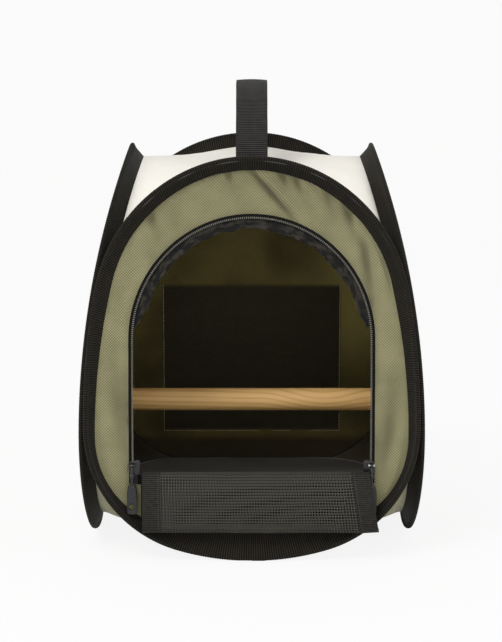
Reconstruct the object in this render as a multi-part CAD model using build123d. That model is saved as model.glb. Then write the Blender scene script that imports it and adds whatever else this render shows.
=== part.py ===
"""Bird travel carrier, in millimetres.

A cube of cloth panels held open by four egg-shaped spring hoops. Each side panel lies on a
cylinder whose axis is level, so it leans in towards the top, and its hoop stands out from the
panel's seam inside a folded binding tape. +Z is up, the door faces -Y, and the origin is on the
surface that the carrier stands on, under the middle of the cabin.
"""

import os
from dataclasses import dataclass
from math import asin, atan2, cos, degrees, radians, sin, sqrt

from build123d import *

# ---------------------------------------------------------------- driving dimensions

CLEARANCE = 0.3              # between cloth pieces that are sewn together
CLOTH = 1.6                  # side panels: padded cloth
THIN_CLOTH = 1.2             # top and bottom panels

# lean of the side panels: arcs seen from the side, given by their furthest point and radius
SEAM_REACH = 125.5           # from the middle of the cabin to a side panel's furthest point
SEAM_REACH_Z = 95.0
SEAM_LEAN_RADIUS = 640.0
HOOP_PROUD = 8.5             # hoop wire's furthest point outside the panel's
HOOP_REACH = SEAM_REACH + HOOP_PROUD
HOOP_REACH_Z = 95.0
HOOP_LEAN_RADIUS = 700.0

# outline of a side panel at its seam, and of its hoop wire, which goes round the seam
EDGE_GAP = 1.9               # from a seam's widest point to the next side's panel
SHOULDER = 10.6              # by which the crown is tighter than the panel is wide
SEAM_HALF_WIDTH = SEAM_REACH - EDGE_GAP
SEAM_WIDEST_Z = 99.0
SEAM_TOP = 306.5
SEAM_BOTTOM = 20.5
SEAM_CROWN_RADIUS = SEAM_HALF_WIDTH - SHOULDER
SEAM_CORNER_RADIUS = 77.0
HOOP_SIDE = 6.6              # hoop outside the seam at its widest
HOOP_RISE = 9.7              # above the seam's top
HOOP_CROWN = 10.0            # by which the hoop's crown is wider than the seam's
HOOP_CORNER = 25.6           # and its lower corners
HOOP_HALF_WIDTH = SEAM_HALF_WIDTH + HOOP_SIDE
HOOP_WIDEST_Z = 108.0
HOOP_TOP = SEAM_TOP + HOOP_RISE
HOOP_BOTTOM = 1.4            # lower than the bead's radius, so that it stands on a flat
HOOP_CROWN_RADIUS = SEAM_CROWN_RADIUS + HOOP_CROWN
HOOP_CORNER_RADIUS = SEAM_CORNER_RADIUS + HOOP_CORNER
HUB_Z = 130.0                # rays from here cross the seam and the wire of one tape section

TAPE = 1.2                   # folded binding tape
SEAM_ALLOWANCE = 1.1         # from the seam in to a side panel's edge
BEAD_RADIUS = 1.8            # tape round the wire
BEAD_SIDES = 6
WIRE_WIDTH = 2.0             # flat spring wire, its width along the tape's
WIRE_THICKNESS = 0.8
WIRE_PLAY = 0.15
HOOP_SPANS = 16              # straight spans of the tape on half a hoop

# door opening: straight sides up to a round head, on the line where the zip closes
ZIP_HALF_WIDTH = 92.0
ZIP_SPRING_Z = 176.0         # where the straight sides meet the round head
SILL_Z = 69.0
ZIP_TAPE_OUTSIDE = 6.0       # tape that shows outside the closing line
ZIP_TAPE = 0.7
SILL_TAPE_HEIGHT = 8.0
TEETH_GAP = 0.9              # from the closing line to the teeth on the body side
TEETH_WIDTH = 2.2
TEETH_DEPTH = 2.0
TEETH_SEAT = 0.1             # between the teeth and the tape's edge
GUARD_WIDTH = 12.0           # dark strip behind the zip, round the head
GUARD_CLOTH = 1.0
GUARD_START_Z = 186.0

# sliders and pullers
SLIDER_WIDTH = 9.0
SLIDER_HEIGHT = 11.0
SLIDER_PLATE = 1.1
SLIDER_CHANNEL = 2.9
SLIDER_POST = 1.3
SLIDER_POST_HEIGHT = 3.2
SLIDER_CORNER = 1.8
SLIDER_REST_Z = 75.0
EAR = 1.2                    # ears that carry the puller's pin, thickness and height
EAR_HEIGHT = 2.4
PIVOT_RADIUS = 0.8
PIVOT_PLAY = 0.1
PIVOT_LENGTH = 3.2           # pin between the ears
PIVOT_STAND_OFF = 2.0        # pin's middle in front of the slider's front plate
PIVOT_DROP = 3.2             # pin's middle below the slider's top
PULLER_SHIFT = 2.2           # outwards from the slider's middle
PULLER_EYE = 0.7             # wall round the pin
PULLER_PLATE = 1.2
PULLER_WIDTH = 8.0
PULLER_STEM = 2.4            # narrow part between the eye and the plate
PULLER_STEM_LENGTH = 16.0
PULLER_LENGTH = 39.5         # pin's middle to the plate's lower end
PULLER_CORNER = 2.2
PULLER_HOLE_RADIUS = 2.5
PULLER_HOLE_UP = 6.0         # hole's middle above the plate's lower end

# mesh door, folded in level strips in front of the panel
STRIPS = 5
STRIP_CLOTH = 0.9
STRIP_PITCH = 1.45
DOOR_GAP = 4.9               # from the closing line to the door's edge, inside the sliders
DOOR_HEM = 15.0
HEM_SEAT = 0.1               # between the net and its border
FOLD_GAP = 0.2
HANG_GAP = 2.1               # from the sill's fold axis to the zip's plane

# welt along the sill, between the zip's tape and the folded door
WELT_HALF_LENGTH = 86.0
WELT_HEIGHT = 7.0
WELT_DROP = 1.2              # its top below the sill
WELT_CORNER = 1.2

# perch and its fastening
PERCH_RADIUS = 9.3
PERCH_Z = 104.0
SCREW_RADIUS = 2.0
SCREW_PLAY = 0.05
SCREW_LENGTH = 22.0
SCREW_HEAD_RADIUS = 4.0
SCREW_HEAD = 2.4
SCREW_HOLE_RADIUS = 2.3
WASHER_RADIUS = 11.0
WASHER = 1.4

# floor
FLOOR_INSET = 20.6           # from a side panel's widest point in to the floor's edge
FLOOR_SIZE = 2 * (SEAM_HALF_WIDTH - FLOOR_INSET)
FLOOR_CORNER = 44.0
FLOOR_BOTTOM = 26.2          # just above the bottom panel, whose corners rise under it
BOARD = 3.0
COVER = 1.2
COVER_PLAY = 0.3
COVER_EDGE = 0.8
BOTTOM_PANEL_Z = 23.6        # lowest part of the bottom panel's middle surface
BOTTOM_FLATNESS = 12.0       # higher keeps more of the bottom panel flat
BOTTOM_SPANS = 12
TOP_FLATNESS = 2.6
TOP_SAG = 7.0
TOP_SPANS = 12

# handle
STRAP_WIDTH = 25.0
STRAP = 2.4
HANDLE_TOP = 370.5
HANDLE_FOOT_REACH = 88.0     # strap's middle at its feet, from the middle of the cabin
HANDLE_PIVOT_Z = 308.0
FOOT_RADIUS = 13.2

# pocket on the rear panel
POCKET_WIDTH = 156.0
POCKET_BOTTOM = 50.0
POCKET_TOP = 182.0
POCKET_CLOTH = 1.0
POCKET_CORNER = 8.0

FAR = 400.0                  # longer than the carrier, for cutting
SIDES = {"front": 0.0, "left": -90.0, "rear": 180.0, "right": 90.0}


# ---------------------------------------------------------------- outlines

@dataclass(frozen=True)
class Lean:
    """A side panel's or hoop's lean: an arc about a level axis on the far side of the cabin."""

    reach: float
    z: float
    radius: float

    @property
    def centre_y(self):
        """Where the arc's axis passes, for the front side."""
        return self.radius - self.reach

    def out(self, z):
        """Distance from the middle of the cabin at height z."""
        return sqrt(self.radius**2 - (z - self.z) ** 2) - self.centre_y


@dataclass(frozen=True)
class Egg:
    """An egg-shaped outline of four tangent arcs on each side."""

    half_width: float
    widest_z: float
    top: float
    bottom: float
    crown_radius: float
    corner_radius: float

    @property
    def crown_z(self):
        return self.top - self.crown_radius

    @property
    def side_radius(self):
        rise = self.crown_z - self.widest_z
        spread = self.half_width - self.crown_radius
        return (self.half_width**2 + rise**2 - self.crown_radius**2) / (2 * spread)

    @property
    def base_radius(self):
        inset = self.half_width - self.corner_radius
        height = self.widest_z - self.bottom
        return (inset**2 + height**2 - self.corner_radius**2) / (2 * (height - self.corner_radius))

    def arcs(self):
        """Centre, radius and first and last angle of each arc, from the base up to the crown."""
        inset = self.half_width - self.corner_radius
        base_z = self.bottom + self.base_radius
        foot = atan2(self.widest_z - base_z, inset)
        side_x = self.half_width - self.side_radius
        shoulder = atan2(self.crown_z - self.widest_z, -side_x)
        return [
            (0.0, base_z, self.base_radius, radians(-90), foot),
            (inset, self.widest_z, self.corner_radius, foot, 0.0),
            (side_x, self.widest_z, self.side_radius, 0.0, shoulder),
            (0.0, self.crown_z, self.crown_radius, shoulder, radians(90)),
        ]

    def on_ray(self, angle):
        """Where a ray from the hub, at an angle above the level, crosses the right side."""
        for cx, cz, radius, start, end in self.arcs():
            along = cx * cos(angle) + (cz - HUB_Z) * sin(angle)
            aside = cx * sin(angle) - (cz - HUB_Z) * cos(angle)
            distance = along + sqrt(radius**2 - aside**2)
            x, z = distance * cos(angle), HUB_Z + distance * sin(angle)
            if start - 1e-6 <= atan2(z - cz, x - cx) <= end + 1e-6:
                return x, z
        return 0.0, self.top

    def grown(self, amount):
        """The outline moved outwards by amount, or inwards if it is negative."""
        return Egg(self.half_width + amount, self.widest_z, self.top + amount,
                   self.bottom - amount, self.crown_radius + amount, self.corner_radius + amount)

    def crown_height(self, x):
        """Height of the crown or side arc at a distance x from the middle."""
        cx, cz, radius, _start, shoulder = self.arcs()[2]
        if abs(x) > cx + radius * cos(shoulder):
            return cz + sqrt(radius**2 - (abs(x) - cx) ** 2)
        return self.crown_z + sqrt(self.crown_radius**2 - x**2)

    def base_height(self, x):
        """Height of the base or corner arc at a distance x from the middle."""
        cx, cz, radius, foot, _end = self.arcs()[1]
        if abs(x) > cx + radius * cos(foot):
            return cz - sqrt(radius**2 - (abs(x) - cx) ** 2)
        return self.bottom + self.base_radius - sqrt(self.base_radius**2 - x**2)

    def span_ends(self):
        """Where the hoop's straight spans meet, on the right side, from the base to the crown."""
        turns = [radians(-90 + 180 * i / HOOP_SPANS) for i in range(HOOP_SPANS + 1)]
        return [self.on_ray(turn) for turn in turns]

    def prism(self):
        """The outline in straight spans, carried through the carrier from front to rear."""
        right = self.span_ends()
        left = [(-x, z) for x, z in reversed(right[1:-1])]
        outline = Polyline([(x, -FAR, z) for x, z in right + left], close=True)
        return extrude(make_face(outline), FAR * 2, dir=(0, 1, 0))


SEAM_LEAN = Lean(SEAM_REACH, SEAM_REACH_Z, SEAM_LEAN_RADIUS)
HOOP_LEAN = Lean(HOOP_REACH, HOOP_REACH_Z, HOOP_LEAN_RADIUS)
SEAM = Egg(SEAM_HALF_WIDTH, SEAM_WIDEST_Z, SEAM_TOP, SEAM_BOTTOM, SEAM_CROWN_RADIUS,
           SEAM_CORNER_RADIUS)
HOOP = Egg(HOOP_HALF_WIDTH, HOOP_WIDEST_Z, HOOP_TOP, HOOP_BOTTOM, HOOP_CROWN_RADIUS,
           HOOP_CORNER_RADIUS)


def front_wall(inner, outer):
    """A sheet along the front panel's lean, between two distances outside its middle surface."""
    axis = Plane(origin=(0, SEAM_LEAN.centre_y, SEAM_LEAN.z), x_dir=(0, 1, 0), z_dir=(1, 0, 0))
    ring = Circle(SEAM_LEAN.radius + outer) - Circle(SEAM_LEAN.radius + inner)
    sheet = extrude(axis * ring, FAR, both=True)
    front = Pos(0, -FAR / 2, FAR / 2) * Box(FAR * 2, FAR, FAR * 2)
    return sheet & front


def arch_prism(half_width, bottom):
    """The door opening's shape, straight sides under a round head, carried front to rear."""
    legs = Pos(0, 0, (bottom + ZIP_SPRING_Z) / 2) * Box(
        2 * half_width, 2 * FAR, ZIP_SPRING_Z - bottom)
    head = Pos(0, 0, ZIP_SPRING_Z) * Rot(90, 0, 0) * Cylinder(half_width, 2 * FAR)
    return legs + head


def above(z):
    """Everything above a height."""
    return Pos(0, 0, z + FAR / 2) * Box(4 * FAR, 4 * FAR, FAR)


def turned(shape, side):
    """A front piece carried round to another side."""
    return shape.rotate(Axis.Z, SIDES[side])


# ---------------------------------------------------------------- side panels and hoops

def side_panel():
    """A plain side panel, in the front's place."""
    return SEAM.grown(-SEAM_ALLOWANCE).prism() & front_wall(-CLOTH / 2, CLOTH / 2)


def front_panel():
    """The front panel, cut out for the door and its zip."""
    cut = arch_prism(ZIP_HALF_WIDTH + ZIP_TAPE_OUTSIDE, SILL_Z - SILL_TAPE_HEIGHT)
    return side_panel() - cut


def perched_panel(side):
    """A side panel with the hole for the perch's screw."""
    hole = Pos(0, 0, PERCH_Z) * Rot(90, 0, 0) * Cylinder(SCREW_HOLE_RADIUS, 2 * FAR)
    return turned(side_panel() - hole, side)


def patched(quads):
    """The solid inside a closed skin of four-cornered patches, each made of two flat triangles."""
    triangles = [corners for a, b, c, d in quads for corners in ((a, b, c), (a, c, d))]
    return Solid(Shell([Face(Wire.make_polygon(corners, close=True)) for corners in triangles]))


def hoop_frames():
    """Along the right half of the front hoop: seam point, wire point, and the tape's thickness
    direction, from the base up to the crown."""
    seam = [Vector(x, -SEAM_LEAN.out(z), z) for x, z in SEAM.span_ends()]
    wire = [Vector(x, -HOOP_LEAN.out(z), z) for x, z in HOOP.span_ends()]
    frames = []
    for i, (inner, outer) in enumerate(zip(seam, wire)):
        if i in (0, len(wire) - 1):
            along = Vector(1 if i == 0 else -1, 0, 0)
        else:
            along = (wire[i + 1] - wire[i - 1]).normalized()
        across = (outer - inner).normalized()
        frames.append((inner, outer, along.cross(across).normalized()))
    return frames


def tape_section(inner, outer, thick):
    """Corners of the folded tape: two flat walls closed by a bead round the wire."""
    across = (outer - inner).normalized()
    start = inner + across * CLEARANCE
    neck = outer - across * sqrt(BEAD_RADIUS**2 - (TAPE / 2) ** 2)
    turns = [radians(360 * i / BEAD_SIDES - 180) for i in range(1, BEAD_SIDES)]
    bead = [outer + (across * cos(turn) + thick * sin(turn)) * BEAD_RADIUS for turn in turns]
    half = thick * TAPE / 2
    return [start - half, neck - half, *bead, neck + half, start + half]


def wire_section(inner, outer, thick, play=0.0):
    """Corners of the flat wire, or with play those of the bore that it lies in."""
    across = (outer - inner).normalized() * (WIRE_WIDTH / 2 + play)
    up = thick * (WIRE_THICKNESS / 2 + play)
    return [outer - across - up, outer + across - up, outer + across + up, outer - across + up]


def bore_section(inner, outer, thick):
    """Corners of the bore that the wire lies in."""
    return wire_section(inner, outer, thick, WIRE_PLAY)


def hoop_ring(section):
    """A closed ring through the sections of the front hoop, its left half mirrored."""
    right = [section(*frame) for frame in hoop_frames()]
    left = [[Vector(-c.X, c.Y, c.Z) for c in corners] for corners in reversed(right[1:-1])]
    loops = right + left
    quads = []
    for here, there in zip(loops, loops[1:] + loops[:1]):
        for i in range(len(here)):
            quads.append((here[i - 1], here[i], there[i], there[i - 1]))
    return patched(quads)


def hoop_wire():
    """The flat spring wire of the front hoop."""
    return hoop_ring(wire_section)


def binding():
    """The front hoop's binding, with its bore, cut flat where it stands."""
    return (hoop_ring(tape_section) & above(0)) - hoop_ring(bore_section)


# ---------------------------------------------------------------- top and bottom panels

def corner_half_width(height):
    """How far out along a crown or base its seam comes within a bead of the next side's seam."""
    low, high = SEAM_HALF_WIDTH / 2, SEAM_HALF_WIDTH - CLEARANCE
    gap = 2 * BEAD_RADIUS
    for _ in range(40):
        middle = (low + high) / 2
        if SEAM_LEAN.out(height(middle)) - middle > gap:
            low = middle
        else:
            high = middle
    return low


def spread_point(u, v, height, corner, flatness, sag, level):
    """A point of a panel that spans the four seams: its edges follow them, and the rise or fall
    along each edge fades towards the middle of the panel."""
    def weight(t):
        return abs(t) ** flatness

    def edge_out(t):
        return SEAM_LEAN.out(height(t * corner))

    gap = SEAM_LEAN.out(height(corner)) - corner

    def across(a, b):
        reach = edge_out(b) - corner - gap / 2 * weight(b)
        return a * corner + (1 if a > 0 else -1) * weight(a) * reach

    drop_u = height(u * corner) - level
    drop_v = height(v * corner) - level
    drop_corner = height(corner) - level
    z = level + drop_u * weight(v) + drop_v * weight(u) - drop_corner * weight(u) * weight(v)
    z -= sag * (1 - weight(u)) * (1 - weight(v))
    return Vector(across(u, v), across(v, u), z)


def even_spots(spans):
    """Places from -1 to 1, evenly spaced."""
    return [2 * i / spans - 1 for i in range(spans + 1)]


def bunched_spots(spans):
    """Places from -1 to 1, closer together near the ends."""
    return [-cos(radians(180) * i / spans) for i in range(spans + 1)]


def spread_panel(height, places, flatness, sag, level):
    """A thin panel through the four seams, in small flat facets."""
    corner = corner_half_width(height)
    spots = [place * (1 - (CLEARANCE + 0.5) / corner) for place in places]
    spans = len(spots) - 1
    shape = (height, corner, flatness, sag, level)
    step = 0.01

    def face_point(u, v, side):
        along_u = spread_point(u + step, v, *shape) - spread_point(u - step, v, *shape)
        along_v = spread_point(u, v + step, *shape) - spread_point(u, v - step, *shape)
        normal = along_u.cross(along_v).normalized()
        return spread_point(u, v, *shape) + normal * side * THIN_CLOTH / 2

    upper, lower = ([[face_point(u, v, side) for u in spots] for v in spots] for side in (1, -1))
    quads = []
    for i in range(spans):
        for j in range(spans):
            for face in (upper, lower):
                quads.append((face[i][j], face[i][j + 1], face[i + 1][j + 1], face[i + 1][j]))
    for k in range(spans):
        for (i, j), (m, n) in (((0, k), (0, k + 1)), ((spans, k), (spans, k + 1)),
                               ((k, 0), (k + 1, 0)), ((k, spans), (k + 1, spans))):
            quads.append((upper[i][j], upper[m][n], lower[m][n], lower[i][j]))
    return patched(quads)


def top_panel():
    """The panel between the four crowns, its corners drawn down and its middle a little low."""
    places = even_spots(TOP_SPANS)
    return spread_panel(SEAM.crown_height, places, TOP_FLATNESS, TOP_SAG, SEAM_TOP)


def bottom_panel():
    """The panel between the four bases, flat under the floor and drawn up at its corners."""
    sag = SEAM_BOTTOM - BOTTOM_PANEL_Z
    places = bunched_spots(BOTTOM_SPANS)
    return spread_panel(SEAM.base_height, places, BOTTOM_FLATNESS, sag, SEAM_BOTTOM)


# ---------------------------------------------------------------- zip

def arch_band(outer, inner, bottom, low, high):
    """A band of the zip's arch on the front panel's lean."""
    return (arch_prism(outer, bottom) - arch_prism(inner, SILL_Z)) & front_wall(low, high)


def zip_tape():
    """Tape round the opening, with the sill strip that the door hangs from."""
    outer = ZIP_HALF_WIDTH + ZIP_TAPE_OUTSIDE - CLEARANCE
    inner = ZIP_HALF_WIDTH + TEETH_GAP + TEETH_WIDTH + TEETH_SEAT
    bottom = SILL_Z - SILL_TAPE_HEIGHT + CLEARANCE
    return arch_band(outer, inner, bottom, -ZIP_TAPE / 2, ZIP_TAPE / 2)


def sill_welt():
    """Folded tape along the sill that the door is sewn to."""
    back = -SEAM_LEAN.out(SILL_Z - WELT_DROP) - ZIP_TAPE / 2 - CLEARANCE / 2
    front = -SEAM_LEAN.out(SILL_Z) - 2 * HANG_GAP + STRIP_CLOTH / 2 + CLEARANCE
    welt = Pos(0, (front + back) / 2, SILL_Z - WELT_DROP - WELT_HEIGHT / 2) * Box(
        2 * WELT_HALF_LENGTH, back - front, WELT_HEIGHT)
    return fillet(welt.edges().filter_by(Axis.X), WELT_CORNER)


def zip_teeth():
    """The body side's row of teeth, as a plain bead."""
    outer = ZIP_HALF_WIDTH + TEETH_GAP + TEETH_WIDTH
    inner = ZIP_HALF_WIDTH + TEETH_GAP
    return arch_band(outer, inner, SILL_Z, -TEETH_DEPTH / 2, TEETH_DEPTH / 2) & above(SILL_Z)


def zip_guard():
    """Dark strip behind the zip, round the arch's head."""
    outer = ZIP_HALF_WIDTH + ZIP_TAPE_OUTSIDE - CLEARANCE
    back = -TEETH_DEPTH / 2 - CLEARANCE
    band = arch_band(outer, outer - GUARD_WIDTH, SILL_Z, back - GUARD_CLOTH, back)
    return band & above(GUARD_START_Z)


def on_zip_arc(shape, z):
    """A shape drawn at the lean's furthest point, carried along it to the height z."""
    angle = degrees(asin((z - SEAM_LEAN.z) / SEAM_LEAN.radius))
    axis = Axis((0, SEAM_LEAN.centre_y, SEAM_LEAN.z), (-1, 0, 0))
    return shape.rotate(axis, angle)


def slider_pivot(side):
    """Middle of a puller's pivot, before the slider is carried to its height."""
    front = SEAM_REACH + SLIDER_CHANNEL / 2 + SLIDER_PLATE
    return Vector(side * (ZIP_HALF_WIDTH + PULLER_SHIFT), -front - PIVOT_STAND_OFF,
                  SEAM_REACH_Z + SLIDER_HEIGHT / 2 - PIVOT_DROP)


def rest_pivot(side):
    """Middle of a puller's pivot where its slider rests, at the foot of the zip."""
    return on_zip_arc(Vertex(*slider_pivot(side)), SLIDER_REST_Z).center()


def slider(side):
    """A zip slider: two plates joined by a post above the channel, and ears with the pin."""
    middle = Pos(side * ZIP_HALF_WIDTH, -SEAM_REACH, SEAM_REACH_Z)
    blank = Box(SLIDER_WIDTH, SLIDER_PLATE, SLIDER_HEIGHT)
    blank = chamfer(blank.edges().filter_by(Axis.Y), SLIDER_CORNER)
    offset = (SLIDER_CHANNEL + SLIDER_PLATE) / 2
    post = Box(SLIDER_POST, SLIDER_CHANNEL + SLIDER_PLATE, SLIDER_POST_HEIGHT)
    post_up = Pos(0, 0, (SLIDER_HEIGHT - SLIDER_POST_HEIGHT) / 2)
    body = middle * (Pos(0, -offset, 0) * blank + Pos(0, offset, 0) * blank + post_up * post)
    pivot = slider_pivot(side)
    body += Pos(*pivot) * Rot(0, 90, 0) * Cylinder(PIVOT_RADIUS, PIVOT_LENGTH + 2 * EAR)
    for end in (-1, 1):
        seat = Pos(pivot.X + end * (PIVOT_LENGTH + EAR) / 2, pivot.Y + PIVOT_STAND_OFF / 2, pivot.Z)
        body += seat * Box(EAR, PIVOT_STAND_OFF + SLIDER_PLATE / 2, EAR_HEIGHT)
    return on_zip_arc(body, SLIDER_REST_Z)


def puller(side):
    """A puller hanging from its slider: an eye round the pin, a stem, and a plate with a hole."""
    bore = PIVOT_RADIUS + PIVOT_PLAY
    eye = Rot(0, 90, 0) * Cylinder(bore + PULLER_EYE, PIVOT_LENGTH - 2 * PIVOT_PLAY)
    stem = Pos(0, 0, -PULLER_STEM_LENGTH / 2) * Box(PULLER_STEM, PULLER_PLATE, PULLER_STEM_LENGTH)
    height = PULLER_LENGTH - PULLER_STEM_LENGTH + PULLER_CORNER
    plate = Pos(0, 0, height / 2 - PULLER_LENGTH) * Box(PULLER_WIDTH, PULLER_PLATE, height)
    plate = chamfer(plate.edges().filter_by(Axis.Y), PULLER_CORNER)
    hole = Pos(0, 0, PULLER_HOLE_UP - PULLER_LENGTH) * Rot(90, 0, 0) * Cylinder(
        PULLER_HOLE_RADIUS, 2 * PULLER_WIDTH)
    pin = Rot(0, 90, 0) * Cylinder(bore, PULLER_WIDTH)
    return Pos(*rest_pivot(side)) * (eye + stem + plate - hole - pin)


# ---------------------------------------------------------------- mesh door

def fold_heights():
    """Heights of the folds when the door is closed, from the sill to the arch's head."""
    door_top = ZIP_SPRING_Z + ZIP_HALF_WIDTH - DOOR_GAP
    return [SILL_Z + (door_top - SILL_Z) * i / STRIPS for i in range(STRIPS + 1)]


def strip_outline(index, inset):
    """One strip of the closed door's arch, narrowed by inset, carried front to rear."""
    heights = fold_heights()
    last = index == STRIPS - 1
    low = heights[index] + FOLD_GAP
    high = heights[index + 1] - (0 if last else FOLD_GAP)
    band = Pos(0, 0, (low + high) / 2) * Box(FAR, FAR, high - low)
    return arch_prism(ZIP_HALF_WIDTH - DOOR_GAP - inset, SILL_Z) & band


def placed_strip(shape, index):
    """A flat strip moved to its place in the folded door: even ones upright, odd ones over."""
    heights = fold_heights()
    drop = heights[1] - heights[0]
    y = -SEAM_LEAN.out(SILL_Z) - 2 * HANG_GAP - index * STRIP_PITCH
    if index % 2 == 0:
        flipped = shape.rotate(Axis((0, 0, heights[index]), (1, 0, 0)), 180)
        return flipped.moved(Pos(0, y, SILL_Z - heights[index]))
    return shape.moved(Pos(0, y, SILL_Z - drop - heights[index]))


def door_net(index):
    """The net of one strip."""
    sheet = Box(FAR, STRIP_CLOTH, 2 * FAR)
    return placed_strip(strip_outline(index, DOOR_HEM + HEM_SEAT) & sheet, index)


def door_hem(index):
    """The woven border of one strip."""
    sheet = Box(FAR, STRIP_CLOTH, 2 * FAR)
    ring = strip_outline(index, 0) - strip_outline(index, DOOR_HEM)
    return placed_strip(ring & sheet, index)


# ---------------------------------------------------------------- perch, floor, handle, pocket

def wall_inside(z):
    """Distance from the middle of the cabin to a side panel's inner face."""
    return SEAM_LEAN.out(z) - CLOTH / 2


def perch():
    """The round rod across the cabin, drilled at each end for a screw."""
    length = 2 * (wall_inside(PERCH_Z) - CLEARANCE)
    rod = Rot(0, 90, 0) * Cylinder(PERCH_RADIUS, length)
    rod = chamfer(rod.edges().filter_by(GeomType.CIRCLE), 0.8)
    for side in (-1, 1):
        depth = SCREW_LENGTH - CLOTH
        drill = Pos(side * (length / 2 - depth / 2), 0, 0) * Rot(0, 90, 0) * Cylinder(
            SCREW_RADIUS + SCREW_PLAY, depth)
        rod -= drill
    return Pos(0, 0, PERCH_Z) * rod


def washer_seat():
    """Where a washer's inner face stands."""
    return SEAM_LEAN.out(PERCH_Z) + CLOTH / 2 + 0.15


def perch_washers():
    """The two washers outside the side panels."""
    ring = Cylinder(WASHER_RADIUS, WASHER) - Cylinder(SCREW_HOLE_RADIUS, 2 * WASHER)
    x = washer_seat() + WASHER / 2
    return [Pos(side * x, 0, PERCH_Z) * Rot(0, 90, 0) * ring for side in (-1, 1)]


def perch_screws():
    """The two round-headed screws."""
    seat = washer_seat() + WASHER + 0.05
    reach = wall_inside(PERCH_Z) - CLEARANCE - (SCREW_LENGTH - CLOTH) + 1.0
    screws = []
    for side in (-1, 1):
        shank = Pos((seat + reach) / 2, 0, 0) * Rot(0, 90, 0) * Cylinder(SCREW_RADIUS, seat - reach)
        head = Pos(seat + SCREW_HEAD / 2, 0, 0) * Rot(0, 90, 0) * Cylinder(
            SCREW_HEAD_RADIUS, SCREW_HEAD)
        head = chamfer(head.edges().group_by(Axis.X)[-1], SCREW_HEAD / 2)
        screw = Pos(0, 0, PERCH_Z) * (shank + head)
        screws.append(screw if side > 0 else screw.rotate(Axis.Z, 180))
    return screws


def floor_slab(size, corner, bottom, thickness):
    """A square slab with round corners."""
    slab = Pos(0, 0, bottom + thickness / 2) * Box(size, size, thickness)
    return fillet(slab.edges().filter_by(Axis.Z), corner)


def floor_board():
    """The stiff board inside the floor's cover."""
    inset = 2 * (COVER + COVER_PLAY)
    return floor_slab(FLOOR_SIZE - inset, FLOOR_CORNER - inset / 2,
                      FLOOR_BOTTOM + COVER + COVER_PLAY, BOARD)


def floor_cover():
    """The floor's cloth cover, closed round its board."""
    height = BOARD + 2 * (COVER + COVER_PLAY)
    outside = floor_slab(FLOOR_SIZE, FLOOR_CORNER, FLOOR_BOTTOM, height)
    outside = chamfer(outside.edges().group_by(Axis.Z)[-1], COVER_EDGE)
    inside = floor_slab(FLOOR_SIZE - 2 * COVER, FLOOR_CORNER - COVER,
                        FLOOR_BOTTOM + COVER, BOARD + 2 * COVER_PLAY)
    return outside - inside


def handle_band():
    """The whole webbing arc, from seam to seam."""
    rise = HANDLE_TOP - STRAP / 2 - HANDLE_PIVOT_Z
    radius = (HANDLE_FOOT_REACH**2 + rise**2) / (2 * rise)
    axis = Plane(origin=(0, 0, HANDLE_TOP - STRAP / 2 - radius), x_dir=(0, 1, 0), z_dir=(1, 0, 0))
    ring = Circle(radius + STRAP / 2) - Circle(radius - STRAP / 2)
    return extrude(axis * ring, STRAP_WIDTH / 2, both=True)


def handle_strap():
    """The part of the handle that tilts from side to side."""
    return handle_band() & above(HANDLE_PIVOT_Z + FOOT_RADIUS + CLEARANCE)


def handle_feet():
    """The two sewn ends, with rounded tips."""
    tips = Pos(0, 0, HANDLE_PIVOT_Z) * Rot(90, 0, 0) * Cylinder(FOOT_RADIUS, FAR)
    seat = SEAM_TOP + THIN_CLOTH / 2 + CLEARANCE
    return handle_band() & tips & above(seat)


def rear_pocket():
    """The flat pocket sewn outside the rear panel."""
    height = POCKET_TOP - POCKET_BOTTOM
    block = Pos(0, 0, POCKET_BOTTOM + height / 2) * Box(POCKET_WIDTH, 2 * FAR, height)
    block = fillet(block.edges().filter_by(Axis.Y), POCKET_CORNER)
    start = CLOTH / 2 + CLEARANCE
    return turned(block & front_wall(start, start + POCKET_CLOTH), "rear")


# ---------------------------------------------------------------- the carrier

def carrier():
    """Every piece by its name."""
    pieces = {"front_panel": front_panel(), "rear_panel": turned(side_panel(), "rear")}
    for side in ("left", "right"):
        pieces[f"{side}_panel"] = perched_panel(side)
    tape, wire = binding(), hoop_wire()
    for side in SIDES:
        pieces[f"{side}_binding"] = turned(tape, side)
        pieces[f"{side}_hoop_wire"] = turned(wire, side)
    pieces["top_panel"] = top_panel()
    pieces["bottom_panel"] = bottom_panel()
    pieces["zip_tape"] = zip_tape()
    pieces["sill_welt"] = sill_welt()
    pieces["zip_teeth"] = zip_teeth()
    pieces["zip_guard_strip"] = zip_guard()
    for name, side in (("left", -1), ("right", 1)):
        pieces[f"{name}_slider"] = slider(side)
        pieces[f"{name}_puller"] = puller(side)
    for index in range(STRIPS):
        pieces[f"door_net_{index + 1}"] = door_net(index)
        pieces[f"door_hem_{index + 1}"] = door_hem(index)
    pieces["perch"] = perch()
    pieces["perch_washers"] = perch_washers()
    pieces["perch_screws"] = perch_screws()
    pieces["floor_board"] = floor_board()
    pieces["floor_cover"] = floor_cover()
    pieces["handle_strap"] = handle_strap()
    pieces["handle_feet"] = handle_feet()
    pieces["rear_pocket"] = rear_pocket()
    return pieces


def solids_of(piece):
    """The solids of a piece, however it was made."""
    parts = piece if isinstance(piece, list) else [piece]
    return [solid for part in parts for solid in part.solids()]


def main():
    """Write one STEP file for each piece."""
    os.makedirs("parts", exist_ok=True)
    for name, piece in carrier().items():
        solids = solids_of(piece)
        shape = solids[0] if len(solids) == 1 else Compound(children=solids)
        export_step(shape, f"parts/{name}.step")
        box = shape.bounding_box()
        print(f"{name:18s} {len(solids)} solid(s)  x {box.min.X:7.1f} {box.max.X:7.1f}"
              f"  y {box.min.Y:7.1f} {box.max.Y:7.1f}  z {box.min.Z:6.1f} {box.max.Z:6.1f}")


if __name__ == "__main__":
    main()
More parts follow.
